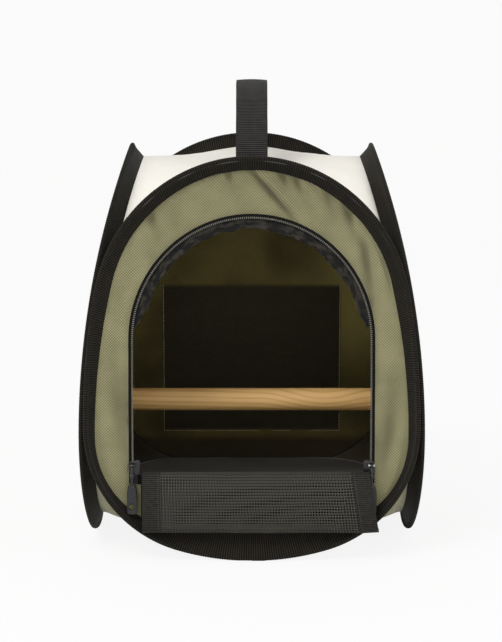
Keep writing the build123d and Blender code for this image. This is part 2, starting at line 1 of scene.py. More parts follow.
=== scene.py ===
"""Bird travel carrier: the looks of its cloth, tapes, zip, net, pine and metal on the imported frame.

Lengths in this file are millimetres unless a name says otherwise, in the row frame: +Z up, the
door towards -Y. Each mesh is modelled with bmesh operators and scaled to metres when it is made.
"""

import logging
from abc import ABC, abstractmethod
from bisect import bisect_right
from dataclasses import dataclass, field
from enum import Enum
from math import asin, atan2, cos, exp, hypot, pi, radians, sin, sqrt
from typing import Callable, Iterable, NamedTuple, Sequence

import bmesh
import bpy
from mathutils import Matrix, Vector, noise


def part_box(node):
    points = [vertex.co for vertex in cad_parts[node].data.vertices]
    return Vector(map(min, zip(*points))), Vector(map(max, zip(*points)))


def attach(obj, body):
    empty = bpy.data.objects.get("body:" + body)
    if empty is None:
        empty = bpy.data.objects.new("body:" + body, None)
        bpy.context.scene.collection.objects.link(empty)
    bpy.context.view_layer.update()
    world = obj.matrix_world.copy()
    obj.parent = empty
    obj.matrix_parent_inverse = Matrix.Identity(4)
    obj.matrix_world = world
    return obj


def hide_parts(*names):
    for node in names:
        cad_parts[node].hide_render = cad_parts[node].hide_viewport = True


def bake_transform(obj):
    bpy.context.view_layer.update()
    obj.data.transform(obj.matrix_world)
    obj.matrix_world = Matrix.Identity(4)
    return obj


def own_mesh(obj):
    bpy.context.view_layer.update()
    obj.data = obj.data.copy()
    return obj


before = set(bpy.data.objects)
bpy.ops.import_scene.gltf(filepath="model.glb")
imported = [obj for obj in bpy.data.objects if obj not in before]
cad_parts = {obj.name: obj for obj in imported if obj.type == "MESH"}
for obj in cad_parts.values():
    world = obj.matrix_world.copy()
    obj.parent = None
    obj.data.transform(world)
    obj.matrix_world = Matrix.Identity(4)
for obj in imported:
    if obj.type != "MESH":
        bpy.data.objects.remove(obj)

log = logging.getLogger("carrier")
METRES = 0.001
TOUCH = 1e-6
HUB = 130.0
Pair = tuple[float, float]
Triple = tuple[float, float, float]
Piece = bpy.types.Object
Socket = bpy.types.NodeSocket
Place = Callable[[float, float], Vector]
Flat = Callable[[float, float], Pair]
Mark = Callable[[float, float], float]


# ---------------------------------------------------------------- shape of the carrier

@dataclass(frozen=True)
class Lean:
    """The arc that a side panel or hoop leans on, seen from the side."""

    reach: float
    z: float
    radius: float

    def out(self, z: float) -> float:
        """Gives the distance from the middle of the cabin at a height.

        Args:
            z: Height above the table.

        Returns:
            The distance, always positive.
        """
        return sqrt(self.radius**2 - (z - self.z) ** 2) - self.radius + self.reach


class Arc(NamedTuple):
    """One arc of an outline: its centre, its radius and the angles of its two ends."""

    x: float
    z: float
    radius: float
    start: float
    end: float


@dataclass(frozen=True)
class Egg:
    """The egg outline of a side panel's seam or of its hoop, in four tangent arcs a side."""

    half_width: float
    widest_z: float
    top: float
    bottom: float
    crown_radius: float
    corner_radius: float

    def arcs(self) -> tuple[Arc, Arc, Arc, Arc]:
        """Gives the arcs of the base, the corner, the side and the crown.

        Returns:
            The four arcs, from the base up.
        """
        crown_z = self.top - self.crown_radius
        rise = crown_z - self.widest_z
        spread = self.half_width - self.crown_radius
        side = (self.half_width**2 + rise**2 - self.crown_radius**2) / (2 * spread)
        inset = self.half_width - self.corner_radius
        height = self.widest_z - self.bottom
        base = (inset**2 + height**2 - self.corner_radius**2) / (2 * (height - self.corner_radius))
        foot = atan2(height - base, inset)
        shoulder = atan2(rise, side - self.half_width)
        return (Arc(0.0, self.bottom + base, base, -pi / 2, foot),
                Arc(inset, self.widest_z, self.corner_radius, foot, 0.0),
                Arc(self.half_width - side, self.widest_z, side, 0.0, shoulder),
                Arc(0.0, crown_z, self.crown_radius, shoulder, pi / 2))

    def at(self, turn: float) -> Pair:
        """Finds where a ray from the hub crosses the outline.

        Args:
            turn: The ray's angle above the level, in radians, right round.

        Returns:
            Distance x from the middle and height z.
        """
        side = 1.0 if cos(turn) >= 0 else -1.0
        angle = atan2(sin(turn), abs(cos(turn)))
        for arc in self.arcs():
            along = arc.x * cos(angle) + (arc.z - HUB) * sin(angle)
            aside = arc.x * sin(angle) - (arc.z - HUB) * cos(angle)
            distance = along + sqrt(max(arc.radius**2 - aside**2, 0.0))
            x, z = distance * cos(angle), HUB + distance * sin(angle)
            if arc.start - TOUCH <= atan2(z - arc.z, x - arc.x) <= arc.end + TOUCH:
                return side * x, z
        return 0.0, self.top

    def height(self, x: float, crown: bool) -> float:
        """Gives the height of the crown or of the base at a distance from the middle.

        Args:
            x: Distance from the middle.
            crown: True for the upper outline, False for the lower.

        Returns:
            The height there.
        """
        base, corner, side, dome = self.arcs()
        flank, middle, meeting = (side, dome, side.end) if crown else (corner, base, corner.start)
        arc = flank if abs(x) > flank.x + flank.radius * cos(meeting) else middle
        rise = sqrt(max(arc.radius**2 - (abs(x) - arc.x) ** 2, 0.0))
        return arc.z + rise if crown else arc.z - rise

    def area(self) -> float:
        """Works out the area inside the outline, in square metres.

        Returns:
            The area.
        """
        steps = 720
        rim = [self.at(2 * pi * k / steps) for k in range(steps)]
        doubled = sum(a[0] * b[1] - b[0] * a[1] for a, b in zip(rim, rim[1:] + rim[:1]))
        return abs(doubled) / 2 * METRES**2


SEAM_LEAN = Lean(reach=125.5, z=95.0, radius=640.0)
HOOP_LEAN = Lean(reach=134.0, z=95.0, radius=700.0)
SEAM = Egg(half_width=123.6, widest_z=99.0, top=306.5, bottom=20.5, crown_radius=113.0,
           corner_radius=77.0)
HOOP = Egg(half_width=130.2, widest_z=108.0, top=316.2, bottom=1.4, crown_radius=123.0,
           corner_radius=102.6)


class Side(Enum):
    """A side of the carrier, with the quarter turns that carry the front to it."""

    FRONT = 0
    RIGHT = 1
    REAR = 2
    LEFT = 3

    @property
    def label(self) -> str:
        """Gives the side's name as the nodes have it."""
        return self.name.lower()

    def carry(self, point: Vector) -> Vector:
        """Carries a point of the front to this side.

        Args:
            point: A point as it lies on the front.

        Returns:
            The same point on this side.
        """
        for _ in range(self.value):
            point = Vector((-point.y, point.x, point.z))
        return point


@dataclass(frozen=True)
class Arch:
    """The outline of the door opening at some distance from the closing line."""

    half_width: float
    bottom: float
    spring_z: float = 176.0

    def at(self, turn: float) -> Pair:
        """Finds where a ray from the hub crosses the arch.

        Args:
            turn: The ray's angle above the level, in radians.

        Returns:
            Distance x from the middle and height z.
        """
        dx, dz = cos(turn), sin(turn)
        if dz < 0 and (self.bottom - HUB) / dz * abs(dx) < self.half_width:
            reach = (self.bottom - HUB) / dz
        else:
            reach = self.half_width / max(abs(dx), 1e-9)
            if HUB + reach * dz > self.spring_z:
                lift = self.spring_z - HUB
                reach = dz * lift + sqrt(self.half_width**2 - (dx * lift) ** 2)
        return reach * dx, HUB + reach * dz

    def line(self, pitch: float) -> list[Triple]:
        """Walks the sides and the head from the left foot to the right one.

        Args:
            pitch: Distance between stops.

        Returns:
            x, z and heading of each stop.
        """
        leg = self.spring_z - self.bottom
        head = pi * self.half_width
        stops = []
        for k in range(int((2 * leg + head) / pitch) + 1):
            s = k * pitch
            if s < leg:
                stops.append((-self.half_width, self.bottom + s, pi / 2))
            elif s < leg + head:
                a = pi - (s - leg) / self.half_width
                stops.append((self.half_width * cos(a), self.spring_z + self.half_width * sin(a),
                              a - pi / 2))
            else:
                stops.append((self.half_width, self.spring_z - (s - leg - head), -pi / 2))
        return stops


def on_front(x: float, z: float, proud: float = 0.0) -> Vector:
    """Places a point on the front panel's middle surface.

    Args:
        x: Distance to the right of the middle.
        z: Height.
        proud: Distance in front of the surface.

    Returns:
        The point.
    """
    return Vector((x, -SEAM_LEAN.out(z) - proud, z))


# ---------------------------------------------------------------- modelling

@dataclass
class Model:
    """A mesh under construction, in millimetres, that becomes one piece of the carrier."""

    name: str
    bm: bmesh.types.BMesh = field(default_factory=bmesh.new)

    def __post_init__(self) -> None:
        """Adds the layers that materials read."""
        self.uv = self.bm.loops.layers.uv.new("UVMap")
        self.mark = self.bm.verts.layers.float.new("mark")

    def grid(self, columns: int, rows: int, place: Place, flat: Flat | None = None,
             weld: bool = False, mark: Mark | None = None) -> list[bmesh.types.BMFace]:
        """Adds a grid whose corners are placed by a function of u and v from 0 to 1.

        Args:
            columns: Divisions along u.
            rows: Divisions along v.
            place: Gives the point for u and v.
            flat: Gives the cloth's own flat coordinates in millimetres for u and v.
            weld: Joins edges that come together.
            mark: Gives a number for the material to read at u and v.

        Returns:
            The faces that were added.
        """
        before = set(self.bm.faces)
        made = bmesh.ops.create_grid(self.bm, x_segments=columns, y_segments=rows, size=0.5)
        spots = {v: (v.co.x + 0.5, v.co.y + 0.5) for v in made["verts"]}
        faces = [f for f in self.bm.faces if f not in before]
        for face in faces:
            face.smooth = True
            for loop in face.loops:
                u, v = spots[loop.vert]
                s, t = flat(u, v) if flat else (u * 1000, v * 1000)
                loop[self.uv].uv = (s * METRES, t * METRES)
        for vert, (u, v) in spots.items():
            vert.co = place(u, v)
            vert[self.mark] = mark(u, v) if mark else 0.0
        if weld:
            bmesh.ops.remove_doubles(self.bm, verts=list(spots), dist=1e-4)
            faces = [f for f in faces if f.is_valid]
        return faces

    def thicken(self, faces: Iterable[bmesh.types.BMFace], thickness: float) -> None:
        """Gives a sheet its thickness, both ways from where it lies.

        Args:
            faces: The sheet's faces.
            thickness: Whole thickness.
        """
        faces = list(faces)
        for vert in {v for f in faces for v in f.verts}:
            vert.co += vert.normal * (thickness / 2)
        bmesh.ops.solidify(self.bm, geom=faces, thickness=thickness)
        for face in self.bm.faces:
            face.smooth = True

    def cloth(self, columns: int, rows: int, place: Place, thickness: float,
              flat: Flat | None = None, weld: bool = False, mark: Mark | None = None) -> None:
        """Adds a grid as grid does, and gives it the thickness of a cloth.

        Args:
            columns: Divisions along u.
            rows: Divisions along v.
            place: Gives the point for u and v.
            thickness: Whole thickness.
            flat: Gives the cloth's own flat coordinates in millimetres for u and v.
            weld: Joins edges that come together.
            mark: Gives a number for the material to read at u and v.
        """
        faces = self.grid(columns, rows, place, flat, weld, mark)
        self.bm.normal_update()
        self.thicken(faces, thickness)

    def block(self, size: Sequence[float], at: Matrix, edge: float, segments: int = 2) -> None:
        """Adds a block with rounded edges.

        Args:
            size: Its three lengths.
            at: Its place.
            edge: Radius of its edges.
            segments: Segments round an edge.
        """
        made = bmesh.ops.create_cube(self.bm, size=1.0, matrix=at @ Matrix.Diagonal((*size, 1.0)))
        rim = list({e for v in made["verts"] for e in v.link_edges})
        self.round(rim, edge, segments)

    def rod(self, radius: float, length: float, at: Matrix, edge: float = 0.0,
            sides: int = 32) -> None:
        """Adds a round bar along its own Z.

        Args:
            radius: Its radius.
            length: Its length.
            at: Its place.
            edge: Radius of the two end edges.
            sides: Facets round it.
        """
        made = bmesh.ops.create_cone(self.bm, cap_ends=True, segments=sides, radius1=radius,
                                     radius2=radius, depth=length, matrix=at)
        if edge:
            rim = [e for e in {e for v in made["verts"] for e in v.link_edges}
                   if any(len(f.verts) > 4 for f in e.link_faces)]
            self.round(rim, edge, 3)

    def round(self, edges: list[bmesh.types.BMEdge], radius: float, segments: int) -> None:
        """Rounds some edges.

        Args:
            edges: The edges.
            radius: Radius of the rounding.
            segments: Segments round each.
        """
        bmesh.ops.bevel(self.bm, geom=edges, offset=radius, offset_type="OFFSET",
                        segments=segments, profile=0.5, material=-1, affect="EDGES")

    def piece(self, finish: bpy.types.Material, body: str, slot: str, *nodes: str,
              sharp: float = 0.0) -> Piece:
        """Turns the model into an object that rides on a body and stands for CAD nodes.

        Args:
            finish: Its material.
            body: The body that carries it.
            slot: The record's material slot; not used.
            nodes: CAD nodes that it replaces.
            sharp: Angle in degrees above which edges stay sharp, or 0 for none.

        Returns:
            The new object.
        """
        bmesh.ops.recalc_face_normals(self.bm, faces=self.bm.faces[:])
        bmesh.ops.scale(self.bm, vec=(METRES,) * 3, verts=self.bm.verts[:])
        mesh = bpy.data.meshes.new(self.name)
        for face in self.bm.faces:
            face.smooth = True
        if sharp:
            for edge in self.bm.edges:
                edge.smooth = edge.calc_face_angle(0.0) < radians(sharp)
        self.bm.to_mesh(mesh)
        self.bm.free()
        mesh.materials.append(finish)
        piece = bpy.data.objects.new(self.name, mesh)
        bpy.context.scene.collection.objects.link(piece)
        if body:
            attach(piece, body)
        if nodes:
            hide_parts(*nodes)
        log.info("%s: %d faces", self.name, len(mesh.polygons))
        return piece


def facing(at: Vector, along: Vector, out: Vector) -> Matrix:
    """Makes a place whose Z runs along a line and whose Y faces inwards.

    Args:
        at: Origin.
        along: Direction of its Z.
        out: Direction away from the surface.

    Returns:
        The place as a matrix.
    """
    z = along.normalized()
    y = -(out - z * out.dot(z)).normalized()
    x = y.cross(z)
    return Matrix.Translation(at) @ Matrix((x, y, z)).transposed().to_4x4()


def stitches(model: Model, line: Sequence[Vector], out: Vector, pitch: float = 3.2,
             length: float = 2.2, width: float = 0.45) -> None:
    """Sews a row of short threads along a line.

    Args:
        model: The model that gets them.
        line: Points of the line, in order.
        out: Direction away from the cloth.
        pitch: Distance from thread to thread.
        length: Length of a thread.
        width: Width of a thread.
    """
    due = pitch / 2
    for start, end in zip(line, line[1:]):
        run = (end - start).length
        while due <= run:
            at = start.lerp(end, due / run)
            model.block((width, width * 0.7, length), facing(at, end - start, out), width * 0.3, 1)
            due += pitch
        due -= run


@dataclass(frozen=True)
class Crease:
    """A soft fold in a cloth panel, from one place to another."""

    start: Pair
    end: Pair
    depth: float
    width: float

    def lift(self, x: float, z: float) -> float:
        """Gives how far the crease moves the cloth at a place.

        Args:
            x: Place across.
            z: Place up.

        Returns:
            Movement outwards.
        """
        dx, dz = self.end[0] - self.start[0], self.end[1] - self.start[1]
        run = hypot(dx, dz)
        px, pz = x - self.start[0], z - self.start[1]
        t = (px * dx + pz * dz) / run**2
        aside = (px * dz - pz * dx) / run
        fade = exp(-((max(-t, t - 1, 0.0) * run) / (2 * self.width)) ** 2)
        fade *= 0.35 + 0.65 * sin(pi * min(max(t, 0.0), 1.0)) if 0 <= t <= 1 else 0.35
        return self.depth * exp(-((aside / self.width) ** 2)) * fade


def ripple(x: float, y: float, size: float, seed: float) -> float:
    """Gives smooth unevenness from about -1 to 1.

    Args:
        x: Place across.
        y: Place up.
        size: Distance over which it changes.
        seed: Tells one cloth from another.

    Returns:
        The unevenness there.
    """
    return noise.noise(Vector((x / size, y / size, seed)))


@dataclass(frozen=True)
class Slack:
    """Unevenness of a cloth: long waves with short dents on them."""

    waves: float
    wave_size: float
    dents: float
    dent_size: float
    shift: float = 0.0

    def at(self, x: float, y: float, seed: float) -> float:
        """Gives how far the cloth stands outside its smooth shape.

        Args:
            x: Place across.
            y: Place up.
            seed: Tells one cloth from another.

        Returns:
            The distance, in millimetres.
        """
        return (self.waves * ripple(x, y, self.wave_size, seed)
                + self.dents * ripple(x, y, self.dent_size, seed + self.shift))


def span(count: int, share: float) -> tuple[int, float]:
    """Finds where a share of the way along a line of points falls.

    Args:
        count: How many points the line has.
        share: The share, from 0 to 1.

    Returns:
        The point before the place, and the share of the way to the next point.
    """
    spot = share * (count - 1)
    first = min(int(spot), count - 2)
    return first, spot - first


def mark_lining(piece: Piece, outward: Vector) -> None:
    """Marks the faces of a cloth that look into the cabin.

    Args:
        piece: The cloth.
        outward: Direction away from the cabin.
    """
    faces = piece.data.polygons
    lining = piece.data.attributes.new("lining", "FLOAT", "FACE")
    lining.data.foreach_set("value", [float(face.normal.dot(outward) < 0) for face in faces])


# ---------------------------------------------------------------- shading

@dataclass(frozen=True)
class Tree:
    """The nodes of one material or of the world."""

    graph: bpy.types.NodeTree

    def add(self, kind: str, settings: dict[str, object] | None = None,
            sockets: dict[str | int, object] | None = None) -> bpy.types.Node:
        """Adds a node.

        Args:
            kind: Its type, without the words ShaderNode.
            settings: Its settings, which are set first.
            sockets: What its inputs hold or are fed by, under their names or numbers.

        Returns:
            The node.
        """
        node = self.graph.nodes.new(f"ShaderNode{kind}")
        for name, value in (settings or {}).items():
            setattr(node, name, value)
        for key, value in (sockets or {}).items():
            self.put(node.inputs[key], value)
        return node

    def put(self, socket: Socket, value: object) -> None:
        """Feeds an input by a signal or a link, or sets a colour or a number on it.

        Args:
            socket: The input.
            value: What it gets.
        """
        if isinstance(value, Signal):
            value = value.socket
        if isinstance(value, Socket):
            self.graph.links.new(value, socket)
        else:
            socket.default_value = value.linear() if isinstance(value, Colour) else value

    def rays(self, *kinds: str) -> "Signal":
        """Tells some kinds of rays from the others.

        Args:
            kinds: The kinds, such as Camera.

        Returns:
            1 for a ray of any of the kinds, 0 for the others.
        """
        path = self.add("LightPath").outputs
        first, *others = (Signal(self, path[f"Is {kind} Ray"]) for kind in kinds)
        for other in others:
            first = first.highest(other)
        return first


@dataclass(frozen=True)
class Signal:
    """A value in a node tree, with arithmetic that adds Math nodes."""

    tree: Tree
    socket: Socket

    def _math(self, operation: str, *others: "Signal | float") -> "Signal":
        """Adds a Math node that works on this value and some others."""
        node = self.tree.add("Math", {"operation": operation}, dict(enumerate((self, *others))))
        return Signal(self.tree, node.outputs[0])

    def __add__(self, other: "Signal | float") -> "Signal":
        """Gives the sum."""
        return self._math("ADD", other)

    def __sub__(self, other: "Signal | float") -> "Signal":
        """Gives the difference."""
        return self._math("SUBTRACT", other)

    def __rsub__(self, other: float) -> "Signal":
        """Gives a number less this value."""
        return self * -1 + other

    def __mul__(self, other: "Signal | float") -> "Signal":
        """Gives the product."""
        return self._math("MULTIPLY", other)

    def __lt__(self, other: "Signal | float") -> "Signal":
        """Gives 1 where this value is the smaller one, and 0 elsewhere."""
        return self._math("LESS_THAN", other)

    __radd__ = __add__
    __rmul__ = __mul__

    def sine(self) -> "Signal":
        """Gives the sine."""
        return self._math("SINE")

    def fract(self) -> "Signal":
        """Gives the part after the point."""
        return self._math("FRACT")

    def magnitude(self) -> "Signal":
        """Gives the value without its sign."""
        return self._math("ABSOLUTE")

    def root(self) -> "Signal":
        """Gives the square root."""
        return self._math("SQRT")

    def highest(self, other: "Signal | float") -> "Signal":
        """Gives the greater of two values."""
        return self._math("MAXIMUM", other)

    def lowest(self, other: "Signal | float") -> "Signal":
        """Gives the smaller of two values."""
        return self._math("MINIMUM", other)

    def ranged(self, low: float, high: float, to_low: float = 0.0,
               to_high: float = 1.0) -> "Signal":
        """Maps a range to another, with a soft start and end.

        Args:
            low: Value that gives to_low.
            high: Value that gives to_high.
            to_low: Lower result.
            to_high: Upper result.

        Returns:
            The mapped value.
        """
        node = self.tree.add("MapRange", {"interpolation_type": "SMOOTHSTEP"}, {
            "Value": self, "From Min": low, "From Max": high, "To Min": to_low, "To Max": to_high})
        return Signal(self.tree, node.outputs["Result"])


@dataclass
class Shader:
    """A material under construction."""

    name: str

    def __post_init__(self) -> None:
        """Makes the material and finds its surface."""
        self.material = bpy.data.materials.new(self.name)
        self.material.use_nodes = True
        self.tree = Tree(self.material.node_tree)
        self.surface = self.tree.graph.nodes["Principled BSDF"]

    def put(self, **values: object) -> None:
        """Sets or feeds the surface's own sockets, spaces in names given as underscores."""
        for name, value in values.items():
            self.tree.put(self.surface.inputs[name.replace("_", " ")], value)

    def fed(self, name: str) -> Socket:
        """Gives what feeds a socket of the surface so far."""
        return self.surface.inputs[name].links[0].from_socket

    def attribute(self, name: str) -> Signal:
        """Reads a number that the mesh keeps."""
        node = self.tree.add("Attribute", {"attribute_name": name})
        return Signal(self.tree, node.outputs["Fac"])

    def axes(self, uv: bool) -> tuple[Signal, Signal, Signal]:
        """Gives the coordinates of the surface in metres.

        Args:
            uv: True for the piece's own flat coordinates, False for its place.

        Returns:
            The three coordinates.
        """
        place = self.tree.add("TexCoord").outputs["UV" if uv else "Object"]
        split = self.tree.add("SeparateXYZ", sockets={0: place})
        x, y, z = (Signal(self.tree, out) for out in split.outputs)
        return x, y, z

    def cloud(self, scale: float, detail: float = 3.0, stretch: Sequence[float] = (1, 1, 1),
              uv: bool = False) -> Signal:
        """Gives cloudy unevenness from 0 to 1.

        Args:
            scale: Features per metre.
            detail: Octaves.
            stretch: Scale along each axis.
            uv: True for flat coordinates.

        Returns:
            The unevenness.
        """
        place = self.tree.add("TexCoord").outputs["UV" if uv else "Object"]
        mapping = self.tree.add("Mapping", sockets={"Scale": tuple(stretch), "Vector": place})
        cloud = self.tree.add("TexNoise", sockets={"Scale": scale, "Detail": detail,
                                                   "Vector": mapping.outputs[0]})
        return Signal(self.tree, cloud.outputs[0])

    def mix(self, share: Signal, low: "Colour | Socket", high: "Colour | Socket") -> Socket:
        """Mixes two colours, which are inputs 6 and 7 and output 2 of a Mix node.

        Args:
            share: 0 for the first colour, 1 for the second.
            low: First colour.
            high: Second colour.

        Returns:
            The mixed colour's socket.
        """
        node = self.tree.add("Mix", {"data_type": "RGBA"}, {"Factor": share, 6: low, 7: high})
        return node.outputs[2]

    def bump(self, height: Signal, distance: float, strength: float = 1.0) -> None:
        """Roughens the surface's normal.

        Args:
            height: Height from 0 to 1.
            distance: Real height of 1, in metres.
            strength: Share of the effect.
        """
        self.put(Normal=self.tree.add("Bump", sockets={
            "Strength": strength, "Distance": distance, "Height": height}).outputs[0])


@dataclass(frozen=True)
class Colour:
    """A colour as it looks on screen, from 0 to 255."""

    red: int
    green: int
    blue: int

    def linear(self) -> tuple[float, float, float, float]:
        """Gives the colour as light, with full opacity.

        Returns:
            Red, green, blue and opacity, from 0 to 1.
        """
        parts = []
        for value in (self.red, self.green, self.blue):
            share = value / 255
            parts.append(share / 12.92 if share <= 0.04045 else ((share + 0.055) / 1.055) ** 2.4)
        return parts[0], parts[1], parts[2], 1.0


class Finish(ABC):
    """A finish that makes its material once."""

    @abstractmethod
    def dress(self, shader: Shader) -> None:
        """Builds the finish in a new material.

        Args:
            shader: The new material.
        """

    def material(self, name: str) -> bpy.types.Material:
        """Makes the material.

        Args:
            name: The material's name.

        Returns:
            The material.
        """
        shader = Shader(name)
        self.dress(shader)
        return shader.material


@dataclass(frozen=True)
class Woven(Finish):
    """Plain woven cloth with crossing threads, seen on the slant or square."""

    low: Colour
    high: Colour
    pitch: float = 0.0017
    slant: bool = True
    relief: float = 0.00022
    rough: float = 0.9
    sheen: float = 0.25
    mottle: float = 0.35

    def dress(self, shader: Shader) -> None:
        """Builds threads, blotches and sheen.

        Args:
            shader: The new material.
        """
        x, y, _ = shader.axes(uv=True)
        first, second = (x + y, x - y) if self.slant else (x, y)
        turns = 2 * pi / self.pitch / (sqrt(2) if self.slant else 1)
        weft, warp = (first * turns).sine(), (second * turns).sine()
        weave = (weft * warp) * 0.5 + 0.5
        blotch = shader.cloud(60, 4, uv=True) * self.mottle
        grain = shader.cloud(900, 2, uv=True) * 0.4
        tone = (weave * 0.55 + blotch + grain * 0.5).ranged(0.0, 0.9)
        shader.put(Base_Color=shader.mix(tone, self.low, self.high))
        shader.put(Roughness=weave.ranged(0, 1, self.rough, self.rough - 0.12))
        shader.put(Sheen_Weight=self.sheen, Sheen_Roughness=0.5, Specular_IOR_Level=0.25)
        shader.bump(weave + grain, self.relief)


@dataclass(frozen=True)
class Crumpled(Woven):
    """Thin cloth gathered into small folds."""

    def dress(self, shader: Shader) -> None:
        """Builds the weave, then folds of its own scale, with painted highlights on their ridges and
        painted shade in their hollows.

        Args:
            shader: The new material.
        """
        super().dress(shader)
        folds = shader.cloud(240, 3, stretch=(0.42, 1, 1), uv=True)
        # Painted highlights on the folds' ridges and painted shade in their hollows.
        shader.put(Base_Color=shader.mix(folds.ranged(0.42, 0.66), self.low, self.high))
        shader.bump(folds, 0.0022)


@dataclass(frozen=True)
class Lined(Finish):
    """Olive panel cloth with a darker lining, and with painted shade in its creases, along its edges
    and over its crown. The rear lining has a painted pool of light, painted shade at its foot and
    painted shade where a pocket behind it blocks light.

    The pairs give the heights or distances, in metres, between which each painted light and shade
    comes in.
    """

    # Heights over which the crown gets painted shade.
    CROWN = (0.19, 0.30)
    LIT_SIDE = (0.03, 0.095)
    LIT_HEIGHT = (0.07, 0.15)
    # FLOOR gives the heights below which the rear lining gets painted shade.
    FLOOR = (0.040, 0.050)
    POCKET_SIDE = (0.0765, 0.0795)
    POCKET_FOOT = (0.050, 0.053)
    POCKET_HEAD = (0.179, 0.184)
    outside: Woven
    inner_low: Colour
    inner_high: Colour
    pocket: bool = False
    # fold is the colour of the painted shade in creases, along the seam and the cut, and over the
    # crown.
    fold: Colour = Colour(46, 43, 26)
    # glow is the colour of a painted pool of light on the rear lining.
    glow: Colour = Colour(160, 148, 88)
    # foot is the colour of painted shade at the foot of the rear lining.
    foot: Colour = Colour(64, 55, 38)
    shade: Colour = Colour(60, 54, 40)

    def dress(self, shader: Shader) -> None:
        """Builds the outside cloth and mixes the inner side's colours over it.

        Args:
            shader: The new material.
        """
        self.outside.dress(shader)
        cloth = shader.fed("Base Color")
        hollow = shader.attribute("mark")
        x, _, z = shader.axes(uv=False)
        # Painted shade in creases and along the seam and the cut, where the mark is low.
        outer = shader.mix(hollow.ranged(-4.4, 0.4, 0.56, 0.0), cloth, self.fold)
        # Painted shade over the crown, darker towards the top.
        outer = shader.mix(z.ranged(*self.CROWN, 0.0, 0.15), outer, self.fold)
        glow = shader.cloud(14, 2)
        lining = shader.mix(glow.ranged(0.35, 0.65), self.inner_low, self.inner_high)
        if self.pocket:
            # Painted pool of light on the rear lining.
            lit = x.ranged(*self.LIT_SIDE) * z.ranged(*self.LIT_HEIGHT)
            lining = shader.mix(lit, lining, self.glow)
            # Painted shade at the foot of the rear lining.
            lining = shader.mix(z.ranged(*self.FLOOR, 1, 0), lining, self.foot)
            across = x.magnitude().ranged(*self.POCKET_SIDE, 1, 0)
            up = z.ranged(*self.POCKET_FOOT) * z.ranged(*self.POCKET_HEAD, 1, 0)
            lining = shader.mix(across * up, lining, self.shade)
        shader.put(Base_Color=shader.mix(shader.attribute("lining"), outer, lining))


@dataclass(frozen=True)
class Ribbed(Finish):
    """Woven tape or webbing with ribs across it."""

    low: Colour
    high: Colour
    pitch: float = 0.0019
    rough: float = 0.9
    relief: float = 0.00025
    thread_pitch: float = 0.0009

    def dress(self, shader: Shader) -> None:
        """Builds ribs across the tape and fine threads along it.

        Args:
            shader: The new material.
        """
        x, y, _ = shader.axes(uv=True)
        ribs = (x * (2 * pi / self.pitch)).sine() * 0.5 + 0.5
        threads = (y * (2 * pi / self.thread_pitch)).sine() * 0.5 + 0.5
        wear = shader.cloud(120, 4, uv=True)
        weave = ribs * 0.6 + threads * 0.2 + wear * 0.35
        shader.put(Base_Color=shader.mix(weave.ranged(0.2, 1.05), self.low, self.high))
        shader.put(Roughness=ribs.ranged(0, 1, self.rough, self.rough - 0.14))
        shader.put(Sheen_Weight=0.08, Sheen_Roughness=0.4, Specular_IOR_Level=0.1)
        shader.bump(ribs * 0.8 + threads * 0.25, self.relief)


@dataclass(frozen=True)
class Net(Finish):
    """Open square net: threads along both ways with holes between."""

    low: Colour
    high: Colour
    pitch: float = 0.0020
    thread: float = 0.36

    def dress(self, shader: Shader) -> None:
        """Builds the threads and cuts the holes with alpha.

        Args:
            shader: The new material.
        """
        x, y, _ = shader.axes(uv=True)
        across = ((x * (1 / self.pitch)).fract() - 0.5).magnitude()
        along = ((y * (1 / self.pitch)).fract() - 0.5).magnitude()
        nearest = across.lowest(along)
        solid = nearest < self.thread / 2
        round_thread = nearest.ranged(0.0, self.thread / 2, 1, 0)
        shade = shader.cloud(700, 2, uv=True)
        tone = (round_thread * 0.8 + shade * 0.3).ranged(0, 1)
        shader.put(Base_Color=shader.mix(tone, self.low, self.high))
        shader.put(Alpha=solid)
        shader.put(Roughness=0.85, Specular_IOR_Level=0.08)
        shader.bump(round_thread, 0.00003)


@dataclass(frozen=True)
class DoorCloth(Finish):
    """Net with a woven border that is sewn along its edge."""

    net: Net
    low: Colour
    high: Colour
    border: float = 0.0150
    rib_pitch: float = 0.0016
    seam_inset: float = 0.002
    half_thread: float = 0.00025
    stitch_pitch: float = 0.0028
    stitch_share: float = 0.7

    def dress(self, shader: Shader) -> None:
        """Builds the net, then covers it with border where the edge is near.

        Args:
            shader: The new material.
        """
        self.net.dress(shader)
        edge = shader.attribute("mark")
        band = edge < self.border
        _, y, _ = shader.axes(uv=True)
        ribs = (y * (2 * pi / self.rib_pitch)).sine() * 0.5 + 0.5
        weave = ribs * 0.6 + shader.cloud(300, 4, uv=True) * 0.5
        seam = (edge - (self.border - self.seam_inset)).magnitude() < self.half_thread
        dashes = (y * (1 / self.stitch_pitch)).fract() < self.stitch_share
        weave = weave + seam * dashes * 0.7
        cloth = shader.mix(weave.ranged(0.1, 1.3), self.low, self.high)
        shader.put(Base_Color=shader.mix(band, shader.fed("Base Color"), cloth),
                   Alpha=band.highest(Signal(shader.tree, shader.fed("Alpha"))),
                   Sheen_Weight=0.04, Sheen_Roughness=0.4)


